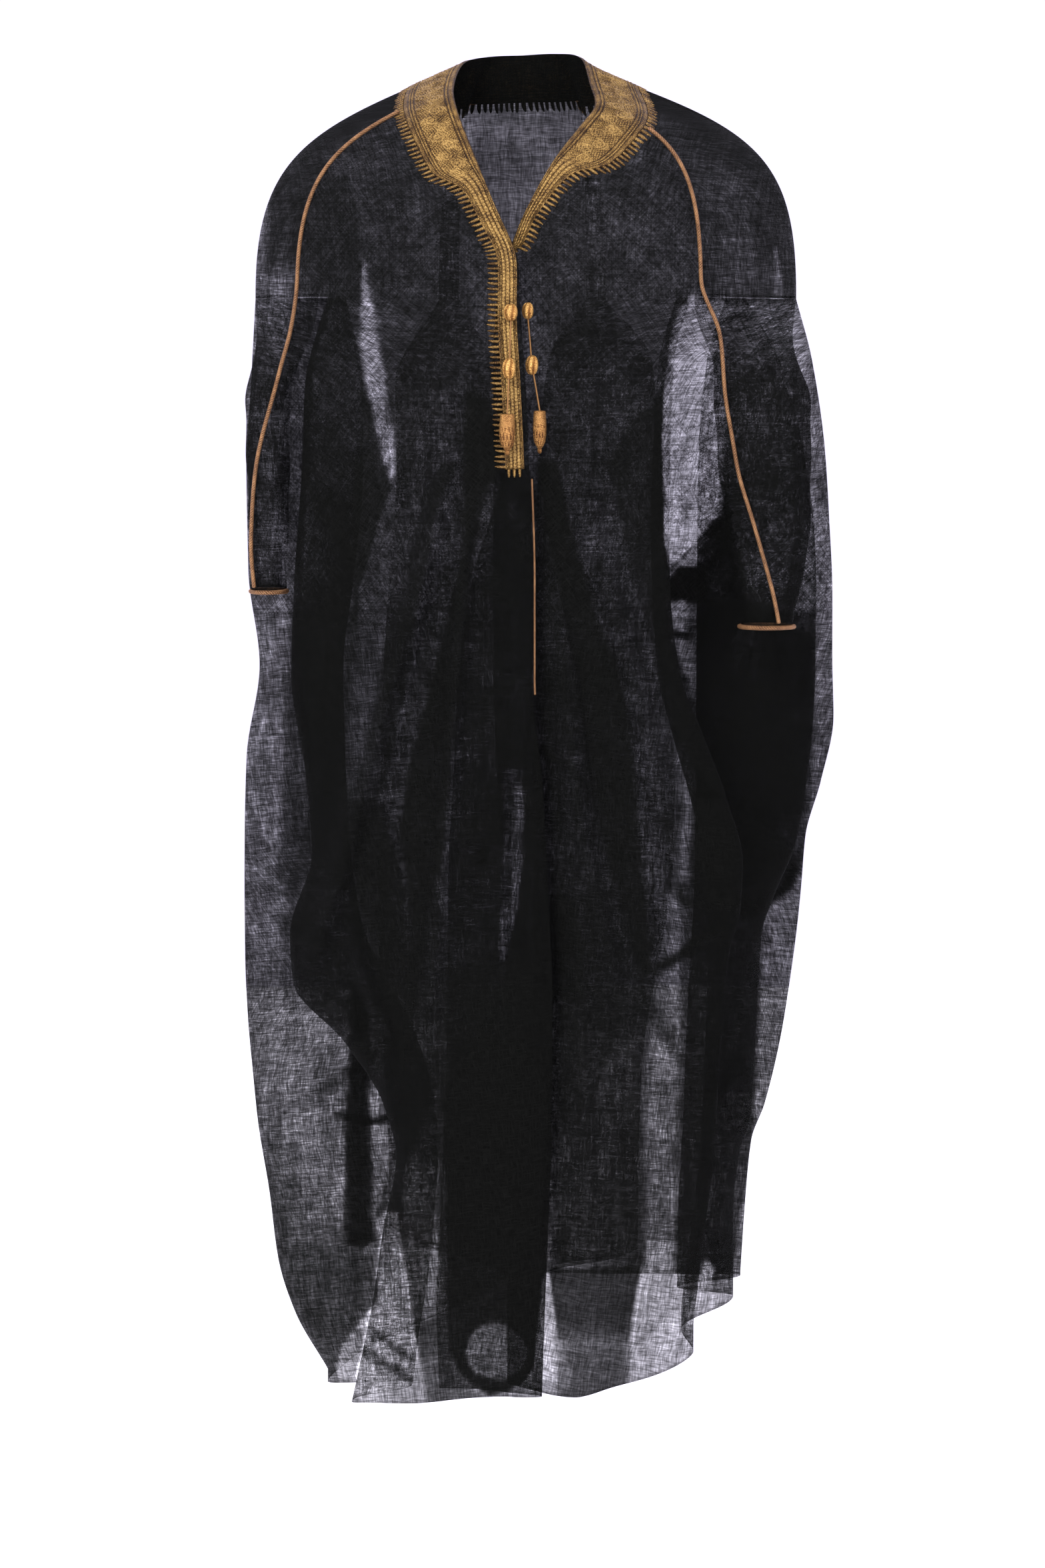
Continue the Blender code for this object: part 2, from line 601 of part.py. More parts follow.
def add_object(name, points, polygons, finish):
    """Make a smooth-shaded mesh object with its own material."""
    mesh = bpy.data.meshes.new(name)
    mesh.from_pydata([tuple(p) for p in points], [], polygons)
    bm = bmesh.new()
    bm.from_mesh(mesh)
    bmesh.ops.triangulate(bm, faces=bm.faces[:])
    bmesh.ops.recalc_face_normals(bm, faces=bm.faces[:])
    bm.to_mesh(mesh)
    bm.free()
    mesh.shade_smooth()
    mesh.set_sharp_from_angle(angle=math.radians(SHARP_ANGLE))
    obj = bpy.data.objects.new(name, mesh)
    bpy.context.scene.collection.objects.link(obj)
    obj.data.materials.append(make_material(name, finish))
    return obj


def make_material(name, finish):
    """Principled material with one finish."""
    material = bpy.data.materials.new(name)
    material.use_nodes = True
    shader = material.node_tree.nodes["Principled BSDF"]
    shader.inputs["Base Color"].default_value = finish.colour
    shader.inputs["Roughness"].default_value = finish.roughness
    shader.inputs["Metallic"].default_value = finish.metallic
    return material


def add_tube(name, points, radius, finish, closed=False):
    """A round cord along points, with closed ends unless it is a loop."""
    curve = bpy.data.curves.new(name, "CURVE")
    curve.dimensions = "3D"
    curve.bevel_depth = radius
    curve.bevel_resolution = 2
    curve.use_fill_caps = not closed
    spline = curve.splines.new("POLY")
    spline.points.add(len(points) - 1)
    for spot, point in zip(spline.points, points):
        spot.co = (*point, 1.0)
    spline.use_cyclic_u = closed
    obj = bpy.data.objects.new(name, curve)
    bpy.context.scene.collection.objects.link(obj)
    curve.materials.append(make_material(name, finish))
    return obj


# ---- pieces -------------------------------------------------------------------------------------------
def body_sheet(sides):
    """The cloak's cloth but for the sleeves, as one sheet with each cell named for its piece."""
    sheet = Sheet()
    for side in sides:
        rows = UPPER_ROWS + LOWER_ROWS
        grid = [[side.body_point(c, r) for c in range(side.columns)] for r in range(rows + 1)]
        seam_column = side.column["side"]
        flap_rows = math.ceil((FLAP_TOP - YOKE_FOOT) / (LOOM_SEAM - YOKE_FOOT) * UPPER_ROWS)
        edge_column = side.column["edge"]

        def label(r, c, side=side, seam_column=seam_column):
            part = "upper" if r < UPPER_ROWS else "lower"
            return f"back_{part}" if c >= seam_column else f"front_{side.name}_{part}"

        def wanted(r, c, edge_column=edge_column, flap_rows=flap_rows):
            return c >= edge_column or r >= flap_rows

        sheet.add_grid(grid, label, wanted, flip=side.sign > 0)
        feet = side.yoke_feet()
        crown = [[side.yoke_point(foot, share, r / YOKE_ROWS) for foot, share in feet]
                 for r in range(YOKE_ROWS)]
        crown.append([foot for foot, share in feet])
        parting = side.column["front"] - side.column[side.turns[side.first].name] + PIPING_STEP

        def yoke_label(r, c, side=side, parting=parting):
            return "back_upper" if c >= parting else f"front_{side.name}_upper"

        sheet.add_grid(crown, yoke_label, flip=side.sign > 0)
    return sheet


def sleeve_ring(side, height):
    """Section of the sleeve: its outer wall from front to back, then its inner wall."""
    rings = side.sleeve
    values = [along(rings, "height", key, height) for key in ("in_x", "out_x", "front", "back")]
    in_x, out_x, front, back = values
    blend = smooth((YOKE_FOOT - height) / SLEEVE_BLEND)
    first, last = SLEEVE_ARC[side.name]
    start, end = side.arc_point(first), side.arc_point(last)
    ring = []
    for k in range(SLEEVE_FRONT + SLEEVE_BACK):
        if k <= SLEEVE_FRONT:
            part = k / SLEEVE_FRONT
            high = side.arc_point(first + (last - first) * part)
            angle = math.radians(-140 + 190 * part)
        else:
            part = (k - SLEEVE_FRONT) / SLEEVE_BACK
            high = end.lerp(start, part)
            angle = math.radians(50 + 170 * part)
        low = Vector((side.sign * ((in_x + out_x) / 2 + (out_x - in_x) / 2 * math.cos(angle)),
                      (front + back) / 2 + (back - front) / 2 * math.sin(angle), height))
        point = high.lerp(low, blend)
        point.z = height
        ring.append(point)
    return ring


def sleeve_sheet(side):
    """The sleeve tube from the yoke's foot to the cuff."""
    sheet = Sheet()
    foot = side.sleeve[-1].height
    top = YOKE_FOOT - GAP
    rows = [sleeve_ring(side, top + (foot - top) * r / SLEEVE_ROWS) for r in range(SLEEVE_ROWS + 1)]
    sheet.add_grid(rows, lambda r, c: "sleeve", flip=side.sign > 0, closed=True)
    return sheet


def on_cloth(tree, point):
    """Nearest point of the cloth and its face's direction away from the wearer."""
    near, normal, _, _ = tree.find_nearest(point)
    if normal.dot(near - CORE) < 0.0:
        normal = -normal
    return near, normal


def march(tree, start, heading, distance):
    """Points on the cloth, with their outward directions, along a straight course."""
    hops = max(2, math.ceil(distance / MARCH_STEP))
    near, normal = on_cloth(tree, start)
    course = heading.normalized()
    spots = [(near, normal)]
    for _ in range(hops):
        near, normal = on_cloth(tree, near + course * (distance / hops))
        course = (course - normal * course.dot(normal)).normalized()
        spots.append((near, normal))
    return spots


def lifted(spots, share, lift):
    """Point at a share of a marched course, lifted off the cloth."""
    place = min(share, 1.0) * (len(spots) - 1)
    k = min(int(place), len(spots) - 2)
    near = spots[k][0].lerp(spots[k + 1][0], place - k)
    normal = spots[k][1].lerp(spots[k + 1][1], place - k).normalized()
    return near + normal * lift


def eased(points, rounds):
    """The same line with its corners relaxed."""
    line = [p.copy() for p in points]
    for _ in range(rounds):
        middle = [(a + b * 2 + c) / 4 for a, b, c in zip(line, line[1:], line[2:])]
        line = [line[0]] + middle + [line[-1]]
    return line


def band_edge(side):
    """The neckline of one side from the centre back to the V, and the placket's edge below it."""
    line = [side.neck_point(1.0 - i / 60) for i in range(61)]
    if side.name == "right":
        edge = side.column["edge"]
        foot = side.body_point(edge, 0)
        line += [side.yoke_point(foot, 0.0, k / 8) for k in range(1, 6)]
        heights = [YOKE_FOOT + (PLACKET_FOOT - YOKE_FOOT) * k / 24 for k in range(2, 25)]
        line += [side.point_at(edge + 1, height) for height in heights]
    return eased(line, 6)


def band_courses(side, tree):
    """Marched courses across the embroidered band, one for each tooth, with their widths."""
    widths = RIGHT_BAND if side.name == "right" else LEFT_BAND
    line = band_edge(side)
    runs = [0.0]
    for a, b in zip(line, line[1:]):
        runs.append(runs[-1] + (b - a).length)
    teeth = round(runs[-1] / TOOTH_PITCH)
    courses = []
    for i in range(teeth + 1):
        run = runs[-1] * i / teeth
        k = max(j for j in range(len(runs) - 1) if runs[j] <= run)
        point = line[k].lerp(line[k + 1], (run - runs[k]) / max(runs[k + 1] - runs[k], 1e-9))
        ahead = line[min(k + 4, len(line) - 1)] - line[max(k - 3, 0)]
        _, normal = on_cloth(tree, point)
        width = along(widths, "run", "band", run)
        heading = ahead.cross(normal) * -side.sign
        courses.append((march(tree, point, heading, width + TOOTH_LENGTH), width))
    return courses


def raise_clear(points, spans, tree, low):
    """Lift pairs of upper and lower points where the line between them would cut the cloth."""
    for _ in range(RAISE_ROUNDS):
        for (over_a, under_a), (over_b, under_b) in spans:
            for share in (0.1, 0.2, 0.3, 0.4, 0.5, 0.6, 0.7, 0.8, 0.9):
                middle = points[under_a].lerp(points[under_b], share)
                near, normal = on_cloth(tree, middle)
                short = low - (middle - near).dot(normal)
                if short > 0.0:
                    for i in (over_a, under_a, over_b, under_b):
                        points[i] += normal * short


def build_neckband(right, left, tree):
    """The embroidered band round the neck and down the placket, with its stitched teeth."""
    courses = list(reversed(band_courses(right, tree))) + band_courses(left, tree)[1:]
    low = WALL / 2 + BAND_GAP
    high = low + BAND_WALL
    points, polygons, spans = [], [], []

    def pair(upper, lower):
        points.extend((upper, lower))
        return len(points) - 2, len(points) - 1

    grid, tips = [], []
    for spots, width in courses:
        root = width / (width + TOOTH_LENGTH)
        shares = [root * k / BAND_STEPS for k in range(BAND_STEPS + 1)]
        grid.append([pair(lifted(spots, t, high), lifted(spots, t, low)) for t in shares])
    for (here, _), (there, _) in zip(courses, courses[1:]):
        tips.append(pair(*((lifted(here, 1.0, lift) + lifted(there, 1.0, lift)) / 2
                           for lift in (low + TOOTH_TIP, low))))
    for here, there, tip in zip(grid, grid[1:], tips):
        for k in range(BAND_STEPS):
            a, b, c, d = here[k], there[k], there[k + 1], here[k + 1]
            polygons.append([a[0], b[0], c[0], d[0]])
            polygons.append([d[1], c[1], b[1], a[1]])
            spans += [(a, b), (a, d), (a, c), (b, d)]
        polygons.append([here[0][1], there[0][1], there[0][0], here[0][0]])
        near, far = here[-1], there[-1]
        polygons.append([near[0], far[0], tip[0]])
        polygons.append([near[1], tip[1], far[1]])
        polygons.append([near[0], tip[0], tip[1], near[1]])
        polygons.append([far[0], far[1], tip[1], tip[0]])
        spans += [(near, far), (near, tip), (far, tip)]
    for end in (grid[0], grid[-1]):
        for a, b in zip(end, end[1:]):
            polygons.append([a[0], b[0], b[1], a[1]])
    raise_clear(points, spans, tree, low)
    return add_object("neckband", points, polygons, GOLD_ZARI)


def sleeve_spot(side, height, out):
    """Point and outward direction on the front of a sleeve at a height and distance out."""
    ring = sleeve_ring(side, height)
    front = ring[:SLEEVE_FRONT + 1]
    for a, b in zip(front, front[1:]):
        near, far = a.x * side.sign, b.x * side.sign
        if near <= out <= far:
            run = b - a
            outward = Vector((run.y, -run.x, 0.0)) * side.sign
            return a.lerp(b, (out - near) / (far - near)), outward.normalized()
    end = front[-3]
    return end, Vector((side.sign, -1.0, 0.0)).normalized()


def build_shoulder_piping(side, tree):
    """The braid over the shoulder seam, from the neckband to the cuff."""
    feet = side.yoke_feet()
    parting = side.column["front"] - side.column[side.turns[side.first].name] + PIPING_STEP
    foot, share = feet[parting]
    lift = PIPING_RADIUS + WALL / 2 + PIPING_GAP
    line = []
    for k in range(41):
        point = side.yoke_point(foot, share, k / 40)
        if (point - side.neck_point(share)).length < PIPING_START[side.name]:
            continue
        near, normal = on_cloth(tree, point)
        line.append(near + normal * lift)
    table = RIGHT_PIPING if side.name == "right" else LEFT_PIPING
    low = side.sleeve[-1].height + PIPING_RADIUS
    for k in range(1, 31):
        height = table[0].height + (low - table[0].height) * k / 30
        spot, outward = sleeve_spot(side, height, along(table, "height", "out", height))
        line.append(spot + outward * lift)
    line = evened(eased(line, 3), PIPING_RUNS)
    return add_tube(f"shoulder_piping_{side.name}", line, PIPING_RADIUS, COPPER_BRAID)


def build_cuff_piping(side):
    """The braid round the sleeve's opening, under its edge."""
    foot = side.sleeve[-1].height
    ring = sleeve_ring(side, foot)
    drop = Vector((0.0, 0.0, PIPING_RADIUS + GAP))
    return add_tube(f"cuff_piping_{side.name}", [p - drop for p in ring], PIPING_RADIUS,
                    COPPER_BRAID, closed=True)


def build_edge_cord(right):
    """The gold cord along the folded front edge below the placket."""
    lift = WALL / 2 + EDGE_CORD_RADIUS + 2 * GAP
    line = []
    for k in range(EDGE_CORD_RUNS + 1):
        height = EDGE_CORD_TOP + (EDGE_CORD_FOOT - EDGE_CORD_TOP) * k / EDGE_CORD_RUNS
        line.append(right.point_at(right.column["edge"], height) + Vector((lift, 0.0, 0.0)))
    return add_tube("front_edge_cord", line, EDGE_CORD_RADIUS, GOLD_THREAD)


def turned(name, centre, outline, finish):
    """A solid turned about an upright axis; the outline runs from its top to its bottom."""
    points = [centre + Vector((0.0, 0.0, outline[0][1]))]
    for radius, height in outline[1:-1]:
        for k in range(DROP_SIDES):
            angle = 2 * math.pi * k / DROP_SIDES
            points.append(centre + Vector((radius * math.cos(angle), radius * math.sin(angle),
                                           height)))
    points.append(centre + Vector((0.0, 0.0, outline[-1][1])))
    last = len(points) - 1
    rings = len(outline) - 2
    polygons = []
    for k in range(DROP_SIDES):
        n = (k + 1) % DROP_SIDES
        polygons.append([0, 1 + k, 1 + n])
        for r in range(rings - 1):
            a, b = 1 + r * DROP_SIDES, 1 + (r + 1) * DROP_SIDES
            polygons.append([a + k, b + k, b + n, a + n])
        end = 1 + (rings - 1) * DROP_SIDES
        polygons.append([end + n, end + k, last])
    return add_object(name, points, polygons, finish)


def drop_outline(drop):
    """Profile of a thread-wound ball or tassel."""
    half, radius = drop.length / 2, drop.width / 2
    if drop.kind == "ball":
        steps = [math.pi * k / DROP_RINGS for k in range(DROP_RINGS + 1)]
        return [(radius * math.sin(a), half * math.cos(a)) for a in steps]
    return [(radius * part.radius, half * part.height) for part in TASSEL_OUTLINE]


def build_drops(tree):
    """The two hanging strings with their balls and tassels."""
    centres = {}
    for drop in DROPS:
        start = Vector((drop.x, FORWARD_OF_ALL, drop.height))
        hit, _, _, _ = tree.ray_cast(start, Vector((0.0, 1.0, 0.0)))
        clear = drop.width / 2 + GAP
        low, high = start.y, hit.y
        for _ in range(40):
            middle = (low + high) / 2
            near, _, _, _ = tree.find_nearest(Vector((drop.x, middle, drop.height)))
            gap = (near - Vector((drop.x, middle, drop.height))).length
            low, high = (middle, high) if gap > clear else (low, middle)
        centres[drop.name] = Vector((drop.x, low, drop.height))
    for name in ("bead", "tassel"):
        for side in ("right", "left"):
            spot = centres[f"{name}_{side}"]
            spot.y = min(spot.y, centres[f"knot_{side}"].y + SWAY)
    for drop in DROPS:
        turned(drop.name, centres[drop.name], drop_outline(drop), GOLD_THREAD)
    sizes = {drop.name: drop for drop in DROPS}
    for side in ("right", "left"):
        for upper, lower in (("knot", "bead"), ("bead", "tassel")):
            above, below = f"{upper}_{side}", f"{lower}_{side}"
            start = centres[above] - Vector((0.0, 0.0, sizes[above].length / 2 + GAP))
            end = centres[below] + Vector((0.0, 0.0, sizes[below].length / 2 + GAP))
            line = [start.lerp(end, k / STRING_RUNS) for k in range(STRING_RUNS + 1)]
            add_tube(f"string_{side}_{lower}", line, STRING_RADIUS, GOLD_THREAD)


def object_tree(objects):
    """Search tree over finished objects."""
    points, polygons = [], []
    for obj in objects:
        base = len(points)
        points += [v.co.copy() for v in obj.data.vertices]
        polygons += [[base + i for i in face.vertices] for face in obj.data.polygons]
    return BVHTree.FromPolygons(points, polygons)


def clear_objects():
    """Remove whatever the scene holds."""
    for obj in list(bpy.data.objects):
        bpy.data.objects.remove(obj, do_unlink=True)


def main():
    """Build the cloak piece by piece."""
    clear_objects()
    right, left = Side("right"), Side("left")
    sheet = body_sheet((right, left))
    for label in sorted(set(sheet.labels)):
        sheet.solid(label, label, WALL, BLACK_WOOL)
    cloth = sheet.tree()
    for side in (right, left):
        sleeve_sheet(side).solid(f"sleeve_{side.name}", "sleeve", WALL, BLACK_WOOL)
        build_shoulder_piping(side, cloth)
        build_cuff_piping(side)
    band = build_neckband(right, left, cloth)
    build_edge_cord(right)
    fronts = [bpy.data.objects[f"front_{side.name}_upper"] for side in (right, left)]
    build_drops(object_tree(fronts + [band]))


main()
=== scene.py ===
"""Looks of a worn bisht cloak: sheer wool, zari embroidery, braid and tasselled ties.

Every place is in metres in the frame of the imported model: +Z up, the wearer faces -Y and the
wearer's left is +X.  Each sub-assembly is a class that builds and dresses its own pieces.
"""

import logging
import math
from dataclasses import dataclass, field
from enum import Enum
from typing import Iterable, Sequence

import bpy
import numpy as np
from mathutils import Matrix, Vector
from mathutils.bvhtree import BVHTree

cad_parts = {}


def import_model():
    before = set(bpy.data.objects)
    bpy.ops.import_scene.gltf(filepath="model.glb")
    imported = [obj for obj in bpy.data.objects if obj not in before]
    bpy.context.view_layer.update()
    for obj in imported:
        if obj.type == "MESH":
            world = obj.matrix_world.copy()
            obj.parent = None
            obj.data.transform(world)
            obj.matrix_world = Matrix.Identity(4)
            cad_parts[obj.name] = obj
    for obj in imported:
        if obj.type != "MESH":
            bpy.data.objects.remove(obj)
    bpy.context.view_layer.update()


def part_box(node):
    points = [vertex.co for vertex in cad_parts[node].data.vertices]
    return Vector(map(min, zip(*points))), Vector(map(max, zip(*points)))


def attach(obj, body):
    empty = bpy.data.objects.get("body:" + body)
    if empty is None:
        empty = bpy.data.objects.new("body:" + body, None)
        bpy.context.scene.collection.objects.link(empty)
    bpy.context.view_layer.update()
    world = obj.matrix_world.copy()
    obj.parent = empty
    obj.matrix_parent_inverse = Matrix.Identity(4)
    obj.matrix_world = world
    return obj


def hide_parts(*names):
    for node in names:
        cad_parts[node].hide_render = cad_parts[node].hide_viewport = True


LOG = logging.getLogger("bisht")
BODY = "root"

YOKE_FOOT = -0.21
LOOM_SEAM = -0.545
FLAP_TOP = -0.385          # where the right front's turned-under facing begins
PLACKET_FOOT = -0.385
FINE_COLUMNS = 11          # strips of the dressed cloth for each strip of its solid
YOKE_ROWS = 48
UPPER_ROWS = 90
LOWER_ROWS = 180
EYE = (-3.9, -0.28)        # depth and height of the place the shades are outlined from
PLANE = -0.15              # depth of the plane they are outlined on
CORE = Vector((0.0, 0.0, -0.40))        # a place inside the wearer
MARCH_STEP = 0.006         # longest hop of a course over the cloth
TOOTH_LENGTH = 0.0115
STANDOFF = 0.0003          # gap between the cloth and what is sewn on it

Quantity = float | np.ndarray | Vector
Pair = tuple[float, float]
Colour = tuple[float, float, float]
Spot = tuple[Vector, Vector]            # a point and the direction out of the cloth
Socket = bpy.types.NodeSocket


# ---- shared sums -------------------------------------------------------------------------------
def smooth(t: np.ndarray) -> np.ndarray:
    """Ease from 0 to 1."""
    t = np.clip(t, 0.0, 1.0)
    return t * t * (3.0 - 2.0 * t)


def hermite(start: Quantity, end: Quantity, leave: Quantity, arrive: Quantity,
            t: float | np.ndarray) -> Quantity:
    """Point of a cubic curve between two values.

    Args:
        start: Value where t is 0.
        end: Value where t is 1.
        leave: Slope at the start.
        arrive: Slope at the end.
        t: Share of the way.

    Returns:
        The value at t, of the same kind as the ends.
    """
    a = 2 * t ** 3 - 3 * t ** 2 + 1
    b = t ** 3 - 2 * t ** 2 + t
    c = -2 * t ** 3 + 3 * t ** 2
    d = t ** 3 - t ** 2
    return start * a + leave * b + end * c + arrive * d


def through(points: Sequence[Vector], share: float) -> Vector:
    """Point at a share of the way along a smooth line through the given points.

    Args:
        points: Points of the line.
        share: Share of the way, 0 at the first and 1 at the last.

    Returns:
        The point.
    """
    place = min(max(share, 0.0), 1.0) * (len(points) - 1)
    k = min(int(place), len(points) - 2)
    before = points[max(k - 1, 0)]
    after = points[min(k + 2, len(points) - 1)]
    leave = (points[k + 1] - before) * 0.5
    arrive = (after - points[k]) * 0.5
    return hermite(points[k], points[k + 1], leave, arrive, place - k)


def eased(points: Sequence[Vector], rounds: int) -> list[Vector]:
    """The same line with its corners relaxed.

    Args:
        points: Points of the line.
        rounds: How often each point moves towards its neighbours.

    Returns:
        The new points, with both ends in place.
    """
    line = [p.copy() for p in points]
    for _ in range(rounds):
        middle = [(a + b * 2 + c) / 4 for a, b, c in zip(line, line[1:], line[2:])]
        line = [line[0]] + middle + [line[-1]]
    return line


def evened(points: Sequence[Vector], count: int) -> list[Vector]:
    """The same line with `count` equal runs.

    Args:
        points: Points of the line.
        count: How many runs.

    Returns:
        The new points.
    """
    samples = 600
    fine = [through(points, i / samples) for i in range(samples + 1)]
    runs = np.cumsum([0.0] + [(b - a).length for a, b in zip(fine, fine[1:])])
    spots = np.linspace(0.0, runs[-1], count + 1)
    axes = [np.interp(spots, runs, [p[k] for p in fine]) for k in range(3)]
    return [Vector(p) for p in zip(*axes)]


@dataclass(frozen=True)
class Table:
    """Columns of sizes against the first column, read on a curve without overshoot."""

    names: tuple[str, ...]
    rows: tuple[tuple[float, ...], ...]

    def read(self, name: str, keys: np.ndarray) -> np.ndarray:
        """Read one column.

        Args:
            name: The column's name.
            keys: Values of the first column to read it at.

        Returns:
            The column's values there.
        """
        data = np.array(self.rows)
        data = data[np.argsort(data[:, 0])]
        x, y = data[:, 0], data[:, self.names.index(name)]
        run = np.diff(x)
        slope = np.diff(y) / run
        tangent = np.concatenate(([slope[0]], np.zeros(len(slope) - 1), [slope[-1]]))
        same = slope[:-1] * slope[1:] > 0.0
        total = np.where(same, slope[:-1] + slope[1:], 1.0)
        tangent[1:-1] = np.where(same, 2.0 * slope[:-1] * slope[1:] / total, 0.0)
        at = np.clip(keys, x[0], x[-1])
        k = np.clip(np.searchsorted(x, at, side="right") - 1, 0, len(run) - 1)
        t = (at - x[k]) / run[k]
        return hermite(y[k], y[k + 1], tangent[k] * run[k], tangent[k + 1] * run[k], t)


def sizes(names: str, *rows: tuple[float, ...]) -> Table:
    """A table of metres from its columns' names and its rows in millimetres."""
    return Table(tuple(names.split()), tuple(tuple(v / 1000 for v in row) for row in rows))


def route(*knots: Pair) -> Table:
    """Route of a line as heights and distances out, given in millimetres."""
    return sizes("height out", *knots)


def metres(numbers: Sequence[float]) -> tuple[Pair, ...]:
    """Places in metres from millimetres, across and height in turn."""
    return tuple((x / 1000, z / 1000) for x, z in zip(numbers[::2], numbers[1::2]))


class Hand(Enum):
    """The wearer's right or left."""

    RIGHT = "right"
    LEFT = "left"

    @property
    def sign(self) -> float:
        """Direction of this side along X."""
        return -1.0 if self is Hand.RIGHT else 1.0


@dataclass(frozen=True)
class Turn:
    """A turning point of the cloth's level section."""

    name: str
    back: float            # share of the depth, 0 at the chest and 1 at the centre back
    hem: float


@dataclass(frozen=True)
class Ridge:
    """A long soft ridge of the hanging cloth."""

    width: float
    swell: float
    route: Table

    def shift(self, out: np.ndarray, height: np.ndarray) -> np.ndarray:
        """How far the ridge stands out at distances out and heights.

        Args:
            out: Distances out.
            height: Heights.

        Returns:
            Distances by which the cloth stands out.
        """
        top, foot = self.route.rows[0][0], self.route.rows[-1][0]
        fade = smooth((top + 0.02 - height) / 0.12) * smooth((height - foot + 0.06) / 0.16)
        middle = self.route.read("out", height)
        return fade * self.swell * np.exp(-((out - middle) / self.width) ** 2)


@dataclass(frozen=True)
class Hump:
    """A rounded swelling of the front."""

    out: float
    height: float
    width: float
    tall: float
    swell: float

    def shift(self, out: np.ndarray, height: np.ndarray) -> np.ndarray:
        """How far the hump stands out at distances out and heights."""
        across = np.exp(-((out - self.out) / self.width) ** 2)
        return across * np.exp(-((height - self.height) / self.tall) ** 2) * self.swell


@dataclass(frozen=True)
class Wave:
    """Small even waves across the cloth, in radians to a metre."""

    rise: float
    across: float
    start: float
    down: float

    def shift(self, out: np.ndarray, height: np.ndarray) -> np.ndarray:
        """How far the wave stands out at distances out and heights."""
        return self.rise * np.sin(out * self.across + self.start + height * self.down)


@dataclass(frozen=True)
class Crease:
    """A crease drawn across the cloth; a positive rise stands out from the wearer."""

    rise: float
    width: float
    route: tuple[float, ...]        # across and height in turn, in millimetres
    rear: bool = False
    cover: float = 0.0     # painted shade along the crease where positive and painted highlight where negative, in layers

    def share(self, x: np.ndarray, z: np.ndarray) -> np.ndarray:
        """How strongly the crease shows at places seen from the front.

        Args:
            x: Places across.
            z: Heights.

        Returns:
            Shares from 0 to 1.
        """
        knots = np.array(metres(self.route))
        runs = np.hypot(*np.diff(knots, axis=0).T)
        total = runs.sum()
        best = np.full(x.shape, np.inf)
        place = np.zeros(x.shape)
        done = 0.0
        for (x0, z0), (x1, z1), run in zip(knots, knots[1:], runs):
            t = np.clip(((x - x0) * (x1 - x0) + (z - z0) * (z1 - z0)) / run ** 2, 0.0, 1.0)
            gap = np.hypot(x - x0 - t * (x1 - x0), z - z0 - t * (z1 - z0))
            nearer = gap < best
            best = np.where(nearer, gap, best)
            place = np.where(nearer, (done + t * run) / total, place)
            done += run
        end = 0.25                  # share of the route over which each end fades
        taper = smooth(place / end) * smooth((1.0 - place) / end)
        return np.exp(-(best / self.width) ** 2) * taper


def seen(points: np.ndarray) -> tuple[np.ndarray, np.ndarray]:
    """Where points appear from the front, on the plane of the chest."""
    scale = (PLANE - EYE[0]) / (points[..., 1] - EYE[0])
    return points[..., 0] * scale, EYE[1] + (points[..., 2] - EYE[1]) * scale


@dataclass(frozen=True)
class Shade:
    """A region, outlined as seen from the front, where painted light and shade make the cloth count as so
    many layers.
    """

    outline: tuple[Pair, ...]
    layers: float
    soft: float            # half width of its border

    def share(self, x: np.ndarray, z: np.ndarray) -> np.ndarray:
        """How far places lie inside the region, 0 outside and 1 inside.

        Args:
            x: Places across.
            z: Heights.

        Returns:
            Shares.
        """
        gap = np.full(x.shape, np.inf)
        inside = np.zeros(x.shape, dtype=bool)
        ends = self.outline[1:] + self.outline[:1]
        for (x0, z0), (x1, z1) in zip(self.outline, ends):
            dx, dz = x1 - x0, z1 - z0
            t = np.clip(((x - x0) * dx + (z - z0) * dz) / (dx * dx + dz * dz), 0.0, 1.0)
            gap = np.minimum(gap, np.hypot(x - x0 - t * dx, z - z0 - t * dz))
            if dz:
                crossing = (z0 > z) != (z1 > z)
                inside ^= crossing & (x < x0 + (z - z0) * dx / dz)
        return smooth(0.5 + np.where(inside, gap, -gap) / (2.0 * self.soft))


def layered(points: np.ndarray, shades: Sequence[Shade]) -> np.ndarray:
    """Layers that the cloth counts as at each point, painting its light and shade, later shades over
    earlier ones.

    Args:
        points: Points of the cloth, with a last axis x, y, z.
        shades: The shades that count there.

    Returns:
        Layers, shaped as the grid of points.
    """
    x, z = seen(points)
    total = np.ones(x.shape)
    for shade in shades:
        total += (shade.layers - total) * shade.share(x, z)
    return total
